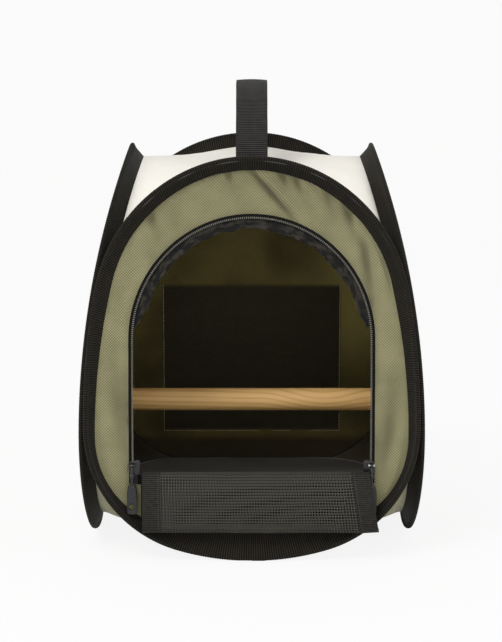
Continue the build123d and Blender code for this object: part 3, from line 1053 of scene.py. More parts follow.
@dataclass(frozen=True)
class Pine(Finish):
    """Turned pine with long grain, arches of growth rings and a knot, sized in metres."""

    pale: Colour
    warm: Colour
    line: Colour
    heart: Pair = (-0.006, 0.092)
    slant: float = 0.02
    ring: float = 0.0042
    arch_x: float = 0.058
    arch_reach: float = 0.05
    arch_rise: float = 0.007
    knot: Pair = (0.108, 0.106)
    knot_stretch: float = 0.45
    knot_edge: Pair = (0.0008, 0.0034)

    def dress(self, shader: Shader) -> None:
        """Builds rings round an axis that slants through the rod, stretched along it.

        Args:
            shader: The new material.
        """
        x, y, z = shader.axes(uv=False)
        wander = shader.cloud(9, 3, stretch=(0.5, 3, 3)) * 0.006
        lower = z - self.heart[1] + x * self.slant
        aside = y - self.heart[0]
        arch = (x - self.arch_x).magnitude().ranged(0.0, self.arch_reach, self.arch_rise, 0.0)
        ring = (lower * lower + aside * aside).root() + wander + arch
        bands = (ring * (2 * pi / self.ring)).sine() * 0.5 + 0.5
        late = bands.ranged(0.55, 1.0)
        pores = shader.cloud(260, 3, stretch=(0.08, 1, 1))
        knot_x, knot_z = (x - self.knot[0]) * self.knot_stretch, z - self.knot[1]
        knot = (knot_x * knot_x + knot_z * knot_z).root().ranged(*self.knot_edge, 1, 0)
        tone = shader.mix(late * 0.75 + pores * 0.25, self.pale, self.warm)
        darker = (pores.ranged(0.55, 0.8) * 0.35 + knot * 0.8).lowest(1.0)
        shader.put(Base_Color=shader.mix(darker, tone, self.line))
        shader.put(Roughness=late.ranged(0, 1, 0.55, 0.44))
        shader.put(Specular_IOR_Level=0.4)
        shader.bump(pores * 0.7 + late * 0.3, 0.00008)


@dataclass(frozen=True)
class Hard(Finish):
    """Metal, enamel, plastic or board with fine brushing and worn spots."""

    colour: Colour
    worn: Colour
    metallic: float
    rough: float
    coat: float = 0.0

    def dress(self, shader: Shader) -> None:
        """Builds brushing and wear.

        Args:
            shader: The new material.
        """
        brush = shader.cloud(900, 2, stretch=(1, 1, 0.1))
        wear = shader.cloud(350, 4).ranged(0.62, 0.8)
        shader.put(Base_Color=shader.mix(wear, self.colour, self.worn))
        shader.put(Roughness=brush.ranged(0.2, 0.8, self.rough, self.rough + 0.12))
        shader.put(Metallic=self.metallic, Coat_Weight=self.coat, Coat_Roughness=0.08)
        shader.bump(brush, 0.00002)


class Wardrobe:
    """Every finish of the carrier, made once."""

    def __init__(self) -> None:
        """Makes the finishes."""
        olive = Woven(Colour(84, 80, 54), Colour(160, 156, 119), pitch=0.0022, slant=False,
                      mottle=0.25)
        inner = (Colour(78, 71, 41), Colour(118, 107, 61))
        self.olive = Lined(olive, *inner).material("olive_cloth")
        # Lit copy of the olive lining for the right side panel: painted light where the lamps reach
        # its inner face.
        self.olive_painted_light = Lined(olive, Colour(132, 120, 64),
                                  Colour(184, 168, 96)).material("olive_lining_painted_light")
        # Darker copy of the olive lining for the bottom panel: painted shade on the cabin's floor.
        self.olive_base = Lined(olive, Colour(50, 43, 30),
                                Colour(70, 61, 43)).material("olive_base_cloth")
        # The rear lining carries a painted pool of light, painted shade at its foot and painted shade
        # behind the pocket.
        self.olive_rear = Lined(olive, *inner, pocket=True).material("olive_rear_cloth")
        self.cream = Woven(Colour(244, 240, 229), Colour(255, 252, 244), pitch=0.0011,
                           relief=0.00008, sheen=0.1, mottle=0.5).material("cream_cloth")
        self.brown = Woven(Colour(30, 24, 18), Colour(54, 43, 32), pitch=0.0015,
                           relief=0.00012).material("brown_cloth")
        self.tape = Ribbed(Colour(10, 9, 8), Colour(50, 46, 39)).material("black_tape")
        self.fine_tape = Ribbed(Colour(8, 7, 7), Colour(25, 23, 21), pitch=0.0011,
                                relief=0.00012).material("fine_tape")
        self.webbing = Ribbed(Colour(18, 18, 17), Colour(66, 64, 63),
                              pitch=0.0017).material("webbing")
        self.crumpled = Crumpled(Colour(7, 7, 6), Colour(50, 46, 40), pitch=0.0012, sheen=0.1,
                                 mottle=0.9).material("crumpled_cloth")
        net = Net(Colour(14, 14, 13), Colour(96, 94, 88), pitch=0.0023, thread=0.32)
        self.door_mesh = DoorCloth(net, Colour(22, 21, 19),
                                   Colour(70, 68, 64)).material("door_mesh")
        # Darker copy of the door net for the strips folded inside the roll: painted shade.
        under = Net(Colour(5, 5, 5), Colour(18, 17, 15), pitch=0.0023)
        self.door_shaded_copy = DoorCloth(under, Colour(7, 6, 5),
                                    Colour(20, 18, 14)).material("door_mesh_painted_shade")
        self.pine = Pine(Colour(240, 196, 130), Colour(220, 170, 102),
                         Colour(158, 104, 56)).material("pine")
        self.teeth = Hard(Colour(112, 110, 102), Colour(186, 184, 176), 0.1,
                          0.35).material("zip_teeth")
        self.enamel = Hard(Colour(13, 13, 14), Colour(38, 38, 40), 0.2, 0.34,
                           coat=0.3).material("black_enamel")
        # Bright metal for the right slider's bracket alone: a painted highlight, as the left bracket
        # is black enamel.
        self.bright = Hard(Colour(176, 176, 174), Colour(120, 120, 118), 1.0,
                           0.24).material("right_bracket_painted_highlight")
        self.steel = Hard(Colour(186, 187, 190), Colour(150, 151, 154), 1.0,
                          0.28).material("steel")
        self.wire = Hard(Colour(110, 112, 116), Colour(80, 80, 84), 1.0, 0.4).material("wire")
        self.board = Hard(Colour(214, 214, 208), Colour(190, 190, 184), 0.0,
                          0.6).material("board")
        self.olive_thread = Woven(Colour(150, 146, 108), Colour(196, 192, 156), pitch=0.0006,
                                  ).material("olive_thread")
        self.dark_thread = Woven(Colour(28, 27, 26), Colour(70, 68, 66), pitch=0.0006,
                                 ).material("dark_thread")


# ---------------------------------------------------------------- cloth panels

@dataclass
class SidePanel:
    """A cloth panel stretched in one hoop, with its slack and creases."""

    side: Side
    wardrobe: Wardrobe
    creases: tuple[Crease, ...] = ()
    seed: float = 0.0
    cut: Arch | None = None
    cloth: float = 1.3
    unevenness: Slack = Slack(waves=1.3, wave_size=38.0, dents=0.5, dent_size=14.0, shift=5.0)
    seam_shade: Pair = (1.1, 3.0)
    cut_shade: Pair = (1.5, 3.5)
    reach: float = 0.996
    hold: float = 6.0
    columns: int = 380
    rows: int = 56

    def slack(self, x: float, z: float) -> float:
        """Gives how far the cloth stands outside its smooth shape at a place."""
        soft = self.unevenness.at(x, z, self.seed)
        return soft + sum(crease.lift(x, z) for crease in self.creases)

    def hollow(self, u: float, v: float) -> float:
        """Gives how hollow the cloth lies at a place, less a painted shade along the seam and the
        cut; below 0 the material paints shade there.

        Args:
            u: Share of the way round the panel.
            v: Share of the way out to the seam.

        Returns:
            The hollow, in millimetres.
        """
        x, z = self.spot(u, v)
        (ax, az), (bx, bz) = self.outline(2 * pi * u)
        run = hypot(bx - ax, bz - az)
        # Painted shade along the seam and the cut edge, taken off the hollow.
        depth, width = self.seam_shade
        edges = depth * exp(-((1 - v) * run / width) ** 2)
        if self.cut:
            depth, width = self.cut_shade
            edges += depth * exp(-(v * run / width) ** 2)
        return self.slack(x, z) - edges

    def outline(self, turn: float) -> tuple[Pair, Pair]:
        """Gives the inner and the outer end of the cloth along a ray from the hub.

        Args:
            turn: The ray's angle, in radians.

        Returns:
            x and z of the inner end and of the outer end.
        """
        x, z = SEAM.at(turn)
        inner = self.cut.at(turn) if self.cut else (0.0, HUB)
        return inner, (x * self.reach, HUB + (z - HUB) * self.reach)

    def spot(self, u: float, v: float) -> Pair:
        """Gives the place across and up for u round the panel and v from its middle out."""
        (ax, az), (bx, bz) = self.outline(2 * pi * u)
        return ax + (bx - ax) * v, az + (bz - az) * v

    def place(self, u: float, v: float) -> Vector:
        """Gives the point of the panel for u round it and v from its middle out.

        Args:
            u: Share of the way round the panel.
            v: Share of the way out to the seam.

        Returns:
            The point.
        """
        x, z = self.spot(u, v)
        edge = min(1.0, (1 - v) * self.hold) * (min(1.0, v * self.hold) if self.cut else 1.0)
        return self.side.carry(on_front(x, z, self.slack(x, z) * edge))

    def build(self) -> Piece:
        """Returns:
            The panel.
        """
        model = Model(f"{self.side.label}_cloth")
        model.cloth(self.columns, self.rows, self.place, self.cloth, self.spot, weld=True,
                    mark=self.hollow)
        finish = {Side.REAR: self.wardrobe.olive_rear,
                  Side.RIGHT: self.wardrobe.olive_painted_light}.get(self.side, self.wardrobe.olive)
        piece = model.piece(finish, "carrier", "olive_cloth", f"{self.side.label}_panel")
        mark_lining(piece, self.side.carry(Vector((0, -1, 0))))
        hole = self.hole_area()
        SEAM.area() - hole
        return piece

    def hole_area(self) -> float:
        """Gives the area of the cut, in square metres.

        Returns:
            The area, or 0 with no cut.
        """
        if not self.cut:
            return 0.0
        straight = 2 * self.cut.half_width * (self.cut.spring_z - self.cut.bottom)
        return (straight + pi * self.cut.half_width**2 / 2) * METRES**2


FRONT_CREASES = (
    Crease((-6.0, 312.0), (33.0, 269.0), -5.6, 3.0),
    Crease((0.0, 312.0), (39.0, 270.0), 3.6, 3.6),
    Crease((-21.0, 312.0), (-17.0, 295.0), -4.6, 3.0),
    Crease((-30.0, 310.0), (-27.0, 288.0), 3.0, 5.0),
    Crease((20.0, 310.0), (27.0, 293.0), -4.6, 3.0),
    Crease((31.0, 307.0), (40.0, 286.0), -3.8, 3.4),
    Crease((41.0, 303.0), (52.0, 282.0), 3.2, 5.0),
    Crease((56.0, 296.0), (62.0, 276.0), -2.4, 4.0),
    Crease((72.0, 287.0), (79.0, 262.0), -5.0, 3.4),
    Crease((81.0, 277.0), (91.0, 250.0), 3.8, 5.0),
    Crease((85.0, 268.0), (94.0, 212.0), -4.2, 4.6),
    Crease((98.0, 250.0), (105.0, 202.0), 3.6, 6.0),
    Crease((-83.0, 281.0), (-76.0, 260.0), -3.6, 4.0),
    Crease((-96.0, 262.0), (-90.0, 236.0), 2.4, 6.0),
    Crease((-108.0, 165.0), (-101.0, 60.0), -2.4, 8.0),
    Crease((-118.0, 120.0), (-104.0, 50.0), 2.4, 7.0),
    Crease((112.0, 150.0), (104.0, 55.0), -2.6, 7.0),
    Crease((119.0, 110.0), (106.0, 48.0), 2.4, 6.0),
)
INNER_CREASES = (
    Crease((-7.0, 300.0), (-9.0, 190.0), 2.6, 9.0),
    Crease((-30.0, 58.0), (-86.0, 106.0), 2.4, 6.0),
    Crease((-46.0, 50.0), (-98.0, 90.0), -2.0, 6.0),
)


@dataclass
class SpreadPanel:
    """The panel between the four crowns or between the four bases."""

    name: str
    crown: bool
    finish: bpy.types.Material
    slot: str
    corner: float
    level: float
    sag: float
    flatness: float
    seed: float
    unevenness: Slack = Slack(waves=0.8, wave_size=38.0, dents=0.3, dent_size=12.0)
    crowding: float = 0.94
    inset: float = 0.8
    cloth: float = 0.9
    weave_width: float = 250.0
    segments: int = 96

    def place(self, u: float, v: float) -> Vector:
        """Gives the point of the panel for u and v from 0 to 1.

        Args:
            u: Share of the way across.
            v: Share of the way from front to rear.

        Returns:
            The point.
        """
        a, b = 2 * u - 1, 2 * v - 1
        a, b = (sin(t * pi / 2 * self.crowding) / sin(pi / 2 * self.crowding) for t in (a, b))

        def weight(t: float) -> float:
            """Gives how near a place is to the edge, from 0 to 1."""
            return abs(t) ** self.flatness

        def rise(t: float) -> float:
            """Gives how far the seam rises along an edge."""
            return SEAM.height(t * self.corner, self.crown) - self.level

        def reach(t: float) -> float:
            """Gives how far the seam stands outside the corner."""
            return SEAM_LEAN.out(self.level + rise(t)) - self.corner

        gap = reach(1.0)

        def across(t: float, other: float) -> float:
            """Gives the place along one axis, pushed out to the seam."""
            push = reach(other) - gap / 2 * weight(other) - self.inset
            return t * self.corner + (1 if t > 0 else -1) * weight(t) * push

        z = self.level + rise(a) * weight(b) + rise(b) * weight(a)
        z -= rise(1.0) * weight(a) * weight(b)
        z -= self.sag * (1 - weight(a)) * (1 - weight(b))
        loose = (1 - abs(a) ** 4) * (1 - abs(b) ** 4)
        z += loose * self.unevenness.at(a * 100, b * 100, self.seed)
        return Vector((across(a, b), across(b, a), z))

    def build(self) -> Piece:
        """Returns:
            The panel.
        """
        model = Model(self.name)

        def flat(u: float, v: float) -> Pair:
            """Gives the weave's own coordinates."""
            return (u - 0.5) * self.weave_width, (v - 0.5) * self.weave_width

        model.cloth(self.segments, self.segments, self.place, self.cloth, flat)
        node = "top_panel" if self.crown else "bottom_panel"
        piece = model.piece(self.finish, "carrier", self.slot, node)
        mark_lining(piece, Vector((0, 0, 1 if self.crown else -1)))
        cut = 2 * self.corner * METRES
        return piece


@dataclass
class Binding:
    """A ribbed tape folded over the panel's seam and round its spring hoop."""

    side: Side
    wardrobe: Wardrobe
    rib: float = 1.9
    half_tape: float = 0.62
    bead: float = 1.8
    lap: float = 0.5
    flat_share: float = 0.55
    neck_gap: float = 1.25
    neck_start: float = 0.72
    wrap: float = 136.5
    rib_depth: float = 0.13
    joint: Pair = (11.0, 0.45)
    wave: float = 0.9
    wave_size: float = 26.0
    stops: int = 1440
    samples: int = 3
    rows: int = 24

    def __post_init__(self) -> None:
        """Measures the hoop and counts the ribs."""
        turns = [2 * pi * k / self.stops - pi / 2 for k in range(self.stops + 1)]
        ends = [self.ends(turn) for turn in turns]
        run = [0.0]
        for (_, a), (_, b) in zip(ends, ends[1:]):
            run.append(run[-1] + (b - a).length)
        self.turns, self.run = turns, run
        self.ribs = round(run[-1] / self.rib)

    @staticmethod
    def ends(turn: float) -> tuple[Vector, Vector]:
        """Gives the seam's point and the wire's point on a ray from the hub.

        Args:
            turn: The ray's angle, in radians.

        Returns:
            The seam's point and the wire's point, on the front.
        """
        x, z = SEAM.at(turn)
        hx, hz = HOOP.at(turn)
        return (Vector((x, -SEAM_LEAN.out(z), z)), Vector((hx, -HOOP_LEAN.out(hz), hz)))

    def turn_at(self, share: float) -> float:
        """Finds the ray at a share of the hoop's length.

        Args:
            share: The share, from 0 at the foot.

        Returns:
            The ray's angle, in radians.
        """
        goal = share * self.run[-1]
        low = min(max(bisect_right(self.run, goal) - 1, 0), len(self.run) - 2)
        inside = (goal - self.run[low]) / (self.run[low + 1] - self.run[low])
        return self.turns[low] + (self.turns[low + 1] - self.turns[low]) * inside

    def section(self, depth: float, v: float) -> Pair:
        """Gives distance along the tape and thickness for v round its folded section.

        Args:
            depth: Distance from the seam to the wire.
            v: Share of the way round the section.

        Returns:
            Distance from the seam, and distance aside.
        """
        side = 1 if v > 0.5 else -1
        t = abs(2 * v - 1)
        neck = sqrt(self.bead**2 - self.half_tape**2)
        if t > 1 - self.flat_share:
            s = (1 - t) / self.flat_share
            along = -self.lap + (depth - neck * self.neck_gap + self.lap) * s
            swell = max(0.0, s - self.neck_start) / (1 - self.neck_start)
            return along, side * (self.half_tape + 0.5 * swell**2)
        angle = (1 - t - self.flat_share) / (1 - self.flat_share)
        turn = radians(self.wrap) * (1 - angle)
        return depth + self.bead * cos(turn), side * self.bead * sin(turn)

    def place(self, u: float, v: float) -> Vector:
        """Gives the point of the tape for u round the hoop and v round its section.

        Args:
            u: Share of the way round the hoop.
            v: Share of the way round the section.

        Returns:
            The point.
        """
        turn = self.turn_at(u)
        inner, outer = self.ends(turn)
        ahead = self.ends(turn + 0.01)[1] - self.ends(turn - 0.01)[1]
        across = (outer - inner).normalized()
        thick = ahead.cross(across).normalized()
        depth = (outer - inner).length
        along, aside = self.section(depth, v)
        groove = self.rib_depth * cos(2 * pi * self.ribs * u)
        joint_length, joint_step = self.joint
        if self.side is Side.FRONT and u * self.run[-1] < joint_length:
            groove += joint_step
        share = min(max(along / depth, 0.0), 1.0)
        wave = self.wave * ripple(u * 900, 0.0, self.wave_size, 3.0 + self.side.value)
        wave *= share * (1 - share**3)
        grown = 1 + groove / self.bead
        middle = min(along, depth)
        point = inner + across * (middle + (along - middle) * grown)
        point += thick * (aside * grown + wave)
        point.z = max(point.z, 0.0)
        return self.side.carry(point)

    def build(self) -> Piece:
        """Models the tape.

        Returns:
            The tape.
        """
        model = Model(f"{self.side.label}_tape")
        model.grid(self.ribs * self.samples, self.rows, self.place,
                   lambda u, v: (u * self.ribs * self.rib, v * 40), weld=True)
        return model.piece(self.wardrobe.tape, "carrier", "black_tape",
                           f"{self.side.label}_binding")


@dataclass
class Pocket:
    """The flat pocket outside the rear panel, with the seam that shows inside the cabin."""

    wardrobe: Wardrobe
    half_width: float = 78.0
    bottom: float = 50.0
    top: float = 182.0
    corner: float = 8.0
    gap: float = 1.7
    belly: float = 1.6
    cloth: float = 0.8
    hem: float = 9.0
    hem_cloth: float = 0.5

    def place(self, u: float, v: float) -> Vector:
        """Gives the point of the pocket for u across and v up.

        Args:
            u: Share of the way across.
            v: Share of the way up.

        Returns:
            The point.
        """
        x = (2 * u - 1) * self.half_width
        z = self.bottom + (self.top - self.bottom) * v
        inset = self.corner_inset(v)
        x *= 1 - inset / self.half_width
        belly = self.belly * sin(pi * u) * sin(pi * v) * (0.6 + 0.4 * ripple(x, z, 30, 9.0))
        return Side.REAR.carry(on_front(x, z, self.gap + belly + 0.3 * ripple(x, z, 14, 2.0)))

    def corner_inset(self, v: float) -> float:
        """Gives how far a rounded corner pulls the side edge in.

        Args:
            v: Share of the way up.

        Returns:
            The distance.
        """
        z = v * (self.top - self.bottom)
        edge = min(z, self.top - self.bottom - z)
        if edge >= self.corner:
            return 0.0
        return self.corner - sqrt(self.corner**2 - (self.corner - edge) ** 2)

    def seam(self, inset: float, proud: float) -> list[Vector]:
        """Gives the pocket's seam down one side, across and up the other.

        Args:
            inset: Distance inside the pocket's edge.
            proud: Distance outside the rear panel.

        Returns:
            The seam's points.
        """
        w, low = self.half_width - inset, self.bottom + inset
        steps = 30
        left = [(-w, self.top + (low - self.top) * k / steps) for k in range(steps + 1)]
        across = [(-w + 2 * w * k / steps, low) for k in range(1, steps + 1)]
        right = [(w, low + (self.top - low) * k / steps) for k in range(1, steps + 1)]
        return [Side.REAR.carry(on_front(x, z, proud)) for x, z in left + across + right]

    def build(self) -> list[Piece]:
        """Models the pocket, its hem and its threads.

        Returns:
            The pieces.
        """
        model = Model("pocket_cloth")
        width, height = 2 * self.half_width, self.top - self.bottom
        model.cloth(60, 56, self.place, self.cloth, lambda u, v: (u * width, v * height))
        cloth = model.piece(self.wardrobe.olive, "carrier", "olive_cloth", "rear_pocket")
        cloth.data.attributes.new("lining", "FLOAT", "FACE")
        hem = Model("pocket_hem")
        hem.cloth(40, 6, lambda u, v: Side.REAR.carry(on_front(
            (2 * u - 1) * (self.half_width - 1.5), self.top - self.hem + self.hem * v,
            2.35 + 1.5 * sin(pi * u) * sin(pi * v) * 0.5)), self.hem_cloth,
            lambda u, v: (u * width, v * self.hem))
        band = hem.piece(self.wardrobe.tape, "carrier", "black_tape")
        thread = Model("pocket_threads")
        stitches(thread, self.seam(3.0, 2.5), Vector((0, 1, 0)))
        stitches(thread, self.seam(0.5, -1.0), Vector((0, -1, 0)), 2.6, 2.1, 0.7)
        sewn = thread.piece(self.wardrobe.olive_thread, "carrier", "olive_cloth")
        return [cloth, band, sewn]


# ---------------------------------------------------------------- zip

@dataclass(frozen=True)
class SliderForm:
    """Sizes of a slider: its two plates, the post between them, the ears and the pin."""

    z: float = 75.0
    plate_gap: float = 2.0
    half_width: float = 4.5
    half_height: float = 5.5
    half_plate: float = 0.55
    squareness: int = 5
    waist: float = 0.10
    back_scale: float = 0.98
    post: Triple = (1.3, 3.4, 3.2)
    post_z: float = 3.9
    pin: Triple = (2.2, -4.55, 2.3)
    pin_radius: float = 0.8
    pin_length: float = 5.4
    ear: Triple = (1.1, 2.9, 2.4)
    ear_gap: float = 2.2
    ear_depth: float = 1.15


@dataclass(frozen=True)
class PullerForm:
    """Sizes of a puller: the loop round the pin, the link, and the plate round its hole."""

    rim: float = 1.6
    loop_radius: float = 1.28
    loop_half: float = 0.33
    loop_width: float = 1.2
    stem: Triple = (2.6, 1.3, 15.2)
    stem_z: float = -8.9
    cross: Triple = (4.2, 1.9, 3.4)
    cross_z: float = -8.6
    hole_z: float = -33.5
    hole: float = 2.5
    top: float = 18.6
    bottom: float = -6.0
    half_width: float = 4.0
    corner: float = 2.4
    half_plate: float = 0.6
    taper: float = 1.3
    taper_from: float = 10.0


@dataclass
class Zip:
    """The door's zip on the body side: tape, teeth, dark strip, welt, sliders and pullers."""

    wardrobe: Wardrobe
    half_width: float = 92.0
    sill: float = 69.0
    spring_z: float = 176.0
    tape_foot: float = 61.4
    tape_inner: float = 1.9
    tape_width: float = 3.9
    tape_cloth: float = 0.7
    sill_half: float = 90.0
    tooth_pitch: float = 1.55
    tooth: Triple = (1.6, 2.0, 0.85)
    tooth_offset: float = 1.7
    strip_foot: float = 186.0
    strip_width: float = 12.5
    strip_lap: float = 6.2
    slider_form: SliderForm = SliderForm()
    puller_form: PullerForm = PullerForm()

    def along(self, s: float, offset: float, foot: float) -> Pair:
        """Finds a place on the arch.

        Args:
            s: Share of the way from the left foot over the head to the right foot.
            offset: Distance outside the closing line.
            foot: Height of the feet.

        Returns:
            x and z.
        """
        leg, head = self.spring_z - foot, pi * self.half_width
        run = s * (2 * leg + head)
        radius = self.half_width + offset
        if run < leg:
            return -radius, foot + run
        if run < leg + head:
            turn = pi - (run - leg) / self.half_width
            return radius * cos(turn), self.spring_z + radius * sin(turn)
        return radius, self.spring_z - (run - leg - head)

    def length(self, foot: float) -> float:
        """Gives the closing line's length from foot to foot."""
        return 2 * (self.spring_z - foot) + pi * self.half_width

    def tape(self) -> Piece:
        """Models the tape round the arch and along the sill.

        Returns:
            The tape.
        """
        model = Model("zip_side_tape")
        foot = self.tape_foot

        def round_arch(u: float, v: float) -> Vector:
            """Places the tape, u round the arch and v outwards."""
            x, z = self.along(u, self.tape_inner + self.tape_width * v, foot)
            return on_front(x, z, 0.12 * ripple(u * 600, v, 9.0, 4.0))

        faces = model.grid(420, 3, round_arch, lambda u, v: (u * self.length(foot), v * 5))
        faces += model.grid(160, 4, lambda u, v: on_front(
            (2 * u - 1) * self.sill_half, foot + (self.sill - foot - 0.2) * v),
            lambda u, v: (2 * self.sill_half * u, v * 8))
        model.bm.normal_update()
        model.thicken(faces, self.tape_cloth)
        return model.piece(self.wardrobe.fine_tape, "carrier", "black_tape", "zip_tape")

    def teeth(self) -> Piece:
        """Models each tooth of the body side.

        Returns:
            The teeth.
        """
        model = Model("zip_side_teeth")
        arch = Arch(self.half_width + self.tooth_offset, self.sill + 0.4, self.spring_z)
        line = arch.line(self.tooth_pitch)
        for x, z, heading in line:
            at = on_front(x, z)
            tangent = Vector((cos(heading), 0.0, sin(heading)))
            slope = (on_front(x, z + 0.5) - on_front(x, z - 0.5)).normalized()
            tangent = (Vector((tangent.x, 0, 0)) + slope * tangent.z).normalized()
            out = Vector((0, -slope.z, slope.y))
            model.block(self.tooth, facing(at, tangent, out), 0.28, 1)
        log.info("zip: %d teeth", len(line))
        return model.piece(self.wardrobe.teeth, "carrier", "zip_plastic", "zip_teeth", sharp=35)

    def guard(self) -> Piece:
        """Models the crumpled strip behind the round head.

        Returns:
            The strip.
        """
        model = Model("zip_head_strip")
        foot, width, lap = self.strip_foot, self.strip_width, self.strip_lap

        def crumple(u: float, v: float) -> Vector:
            """Places the strip.

            Args:
                u: Share round the head.
                v: Share inwards.

            Returns:
                The point.
            """
            wave = ripple(u * 420, v * 8, 19.0, 7.0) + 0.5 * ripple(u * 420, v * 12, 6.0, 8.0)
            taper = min(1.0, 14 * min(u, 1 - u)) ** 0.6
            reach = lap + (width - lap + 1.4 * wave) * taper
            fold = 0.5 * sin(v * 5 * pi + 3 * wave) * v
            x, z = self.along(u, 5.4 - reach * v, foot)
            return on_front(x, z, -1.9 - 1.2 * v + (1.3 * wave + 0.8 * fold) * v)

        model.cloth(520, 16, crumple, self.tape_cloth,
                    lambda u, v: (u * self.length(foot), v * width))
        piece = model.piece(self.wardrobe.crumpled, "carrier", "dark_cloth", "zip_guard_strip")
        return piece

    def welt(self) -> Piece:
        """Models the folded tape along the sill.

        Returns:
            The tape.
        """
        model = Model("sill_fold")
        low, high = (corner * 1000 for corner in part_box("sill_welt"))
        middle, half = (low + high) / 2, (high - low) / 2

        def fold(u: float, v: float) -> Vector:
            """Places the tape.

            Args:
                u: Share along the sill.
                v: Share round the section.

            Returns:
                The point.
            """
            turn = 2 * pi * v
            end = min(1.0, 8 * min(u, 1 - u)) ** 0.5 if min(u, 1 - u) < 0.125 else 1.0
            y = half.y * max(-1.0, min(1.0, 1.35 * cos(turn)))
            z = half.z * max(-1.0, min(1.0, 1.15 * sin(turn)))
            swell = 0.94 + 0.06 * cos(2 * pi * 90 * u)
            return Vector((middle.x + (2 * u - 1) * half.x, middle.y + y * swell * end,
                           middle.z + z * swell * end))

        model.grid(540, 20, fold, lambda u, v: (u * 172, v * 20), weld=True)
        return model.piece(self.wardrobe.tape, "carrier", "black_tape", "sill_welt")

    def slider(self, side: int, name: str, finish: bpy.types.Material) -> list[Piece]:
        """Models one slider: two plates, the post between them, the ears and the pin.

        Args:
            side: -1 for the left one, 1 for the right one.
            name: left or right.
            finish: The bracket's finish.

        Returns:
            The body and its bracket.
        """
        form = self.slider_form
        model = Model(f"{name}_slider_body")
        turn = Matrix.Rotation(-asin((form.z - SEAM_LEAN.z) / SEAM_LEAN.radius), 4, "X")
        base = Matrix.Translation(on_front(side * self.half_width, form.z)) @ turn
        for y, scale in ((-form.plate_gap, 1.0), (form.plate_gap, form.back_scale)):
            self.plate(model, base @ Matrix.Translation((0, y, 0)), scale)
        model.block(form.post, base @ Matrix.Translation((0, 0, form.post_z)), 0.3)
        body = model.piece(self.wardrobe.enamel, f"{name}_slider", "black_enamel",
                           f"{name}_slider", sharp=50)
        bracket = Model(f"{name}_slider_bracket")
        pin = Vector((side * form.pin[0], form.pin[1], form.pin[2]))
        level = Matrix.Rotation(radians(90), 4, "Y")
        bracket.rod(form.pin_radius, form.pin_length, base @ Matrix.Translation(pin) @ level,
                    0.2, 20)
        for end in (-1, 1):
            ear = Matrix.Translation((pin.x + end * form.ear_gap, pin.y + form.ear_depth, pin.z))
            bracket.block(form.ear, base @ ear, 0.45, 3)
        return [body, bracket.piece(finish, f"{name}_slider", "black_enamel", sharp=50)]

    def plate(self, model: Model, at: Matrix, scale: float) -> None:
        """Adds one plate of a slider, waisted and rounded.

        Args:
            model: The slider's model.
            at: The plate's place.
            scale: Its size.
        """
        form = self.slider_form
        half_w, half_h = form.half_width * scale, form.half_height * scale

        def shell(u: float, v: float) -> Vector:
            """Places the surface.

            Args:
                u: Share round the plate.
                v: Share from front to back.

            Returns:
                The point.
            """
            turn = 2 * pi * u
            c, s = cos(turn), sin(turn)
            reach = (abs(c) ** form.squareness + abs(s) ** form.squareness) ** (
                -1 / form.squareness)
            waist = 1 - form.waist * (1 - abs(s)) ** 2
            spread = min(1.0, 2.6 * min(v, 1 - v)) ** 0.8
            y = form.half_plate * max(-1.0, min(1.0, (1 - 2 * v) * 2.8))
            return at @ Vector((half_w * c * reach * waist * spread, y,
                                half_h * s * reach * spread))

        model.grid(48, 26, shell, weld=True)

    def puller(self, name: str) -> Piece:
        """Models one puller: a loop round the pin, a link and a plate with a round hole.

        Args:
            name: left or right.

        Returns:
            The puller.
        """
        form = self.puller_form
        model = Model(f"{name}_puller_plate")
        low, high = (corner * 1000 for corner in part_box(f"{name}_puller"))
        pin = Vector(((low.x + high.x) / 2, (low.y + high.y) / 2, high.z - form.rim))

        def loop(u: float, v: float) -> Vector:
            """Places the loop.

            Args:
                u: Share round the pin.
                v: Share round the section.

            Returns:
                The point.
            """
            a, b = 2 * pi * u, 2 * pi * v
            reach = form.loop_radius + form.loop_half * cos(b)
            across = form.loop_width * max(-1, min(1, 1.3 * sin(b)))
            return pin + Vector((across, reach * cos(a), reach * sin(a)))

        model.grid(40, 16, loop, weld=True)
        model.block(form.stem, Matrix.Translation(pin + Vector((0, 0, form.stem_z))), 0.5, 3)
        model.block(form.cross, Matrix.Translation(pin + Vector((0, 0, form.cross_z))), 0.8, 3)
        hole = pin + Vector((0, 0, form.hole_z))

        def outline(turn: float) -> Pair:
            """Finds the plate's edge along a ray from its hole.

            Args:
                turn: The ray's angle.

            Returns:
                x and z from the hole.
            """
            c, s = cos(turn), sin(turn)
            low_r, high_r = 2.0, 30.0
            for _ in range(30):
                r = (low_r + high_r) / 2
                x, z = abs(r * c), r * s
                rise = max(0.0, (z - form.taper_from) / (form.top - form.taper_from))
                narrow = form.half_width - form.taper * rise**2
                cz = min(max(z, form.bottom + form.corner), form.top - form.corner)
                cx = min(x, narrow - form.corner)
                inside = hypot(x - cx, z - cz) <= form.corner
                low_r, high_r = (r, high_r) if inside else (low_r, r)
            return low_r * c, low_r * s

        def plate(u: float, v: float) -> Vector:
            """Places the surface.

            Args:
                u: Share round the hole.
                v: Share out in front and back in behind.

            Returns:
                The point.
            """
            turn = 2 * pi * u
            ox, oz = outline(turn)
            ix, iz = form.hole * cos(turn), form.hole * sin(turn)
            w = 2 * min(v, 1 - v)
            edge = min(1.0, w * 5)
            rim = min(1.0, (1 - w) * 5 + 0.001)
            thick = form.half_plate * sqrt(max(0.0, 1 - (1 - edge) ** 2))
            thick *= sqrt(max(0.0, 1 - (1 - rim) ** 2))
            if v in (0.0, 1.0):
                thick = 0.0
            x, z = ix + (ox - ix) * w, iz + (oz - iz) * w
            return hole + Vector((x, -thick if v < 0.5 else thick, z))

        model.grid(96, 40, plate, weld=True)
        return model.piece(self.wardrobe.enamel, f"{name}_puller", "black_enamel",
                           f"{name}_puller")

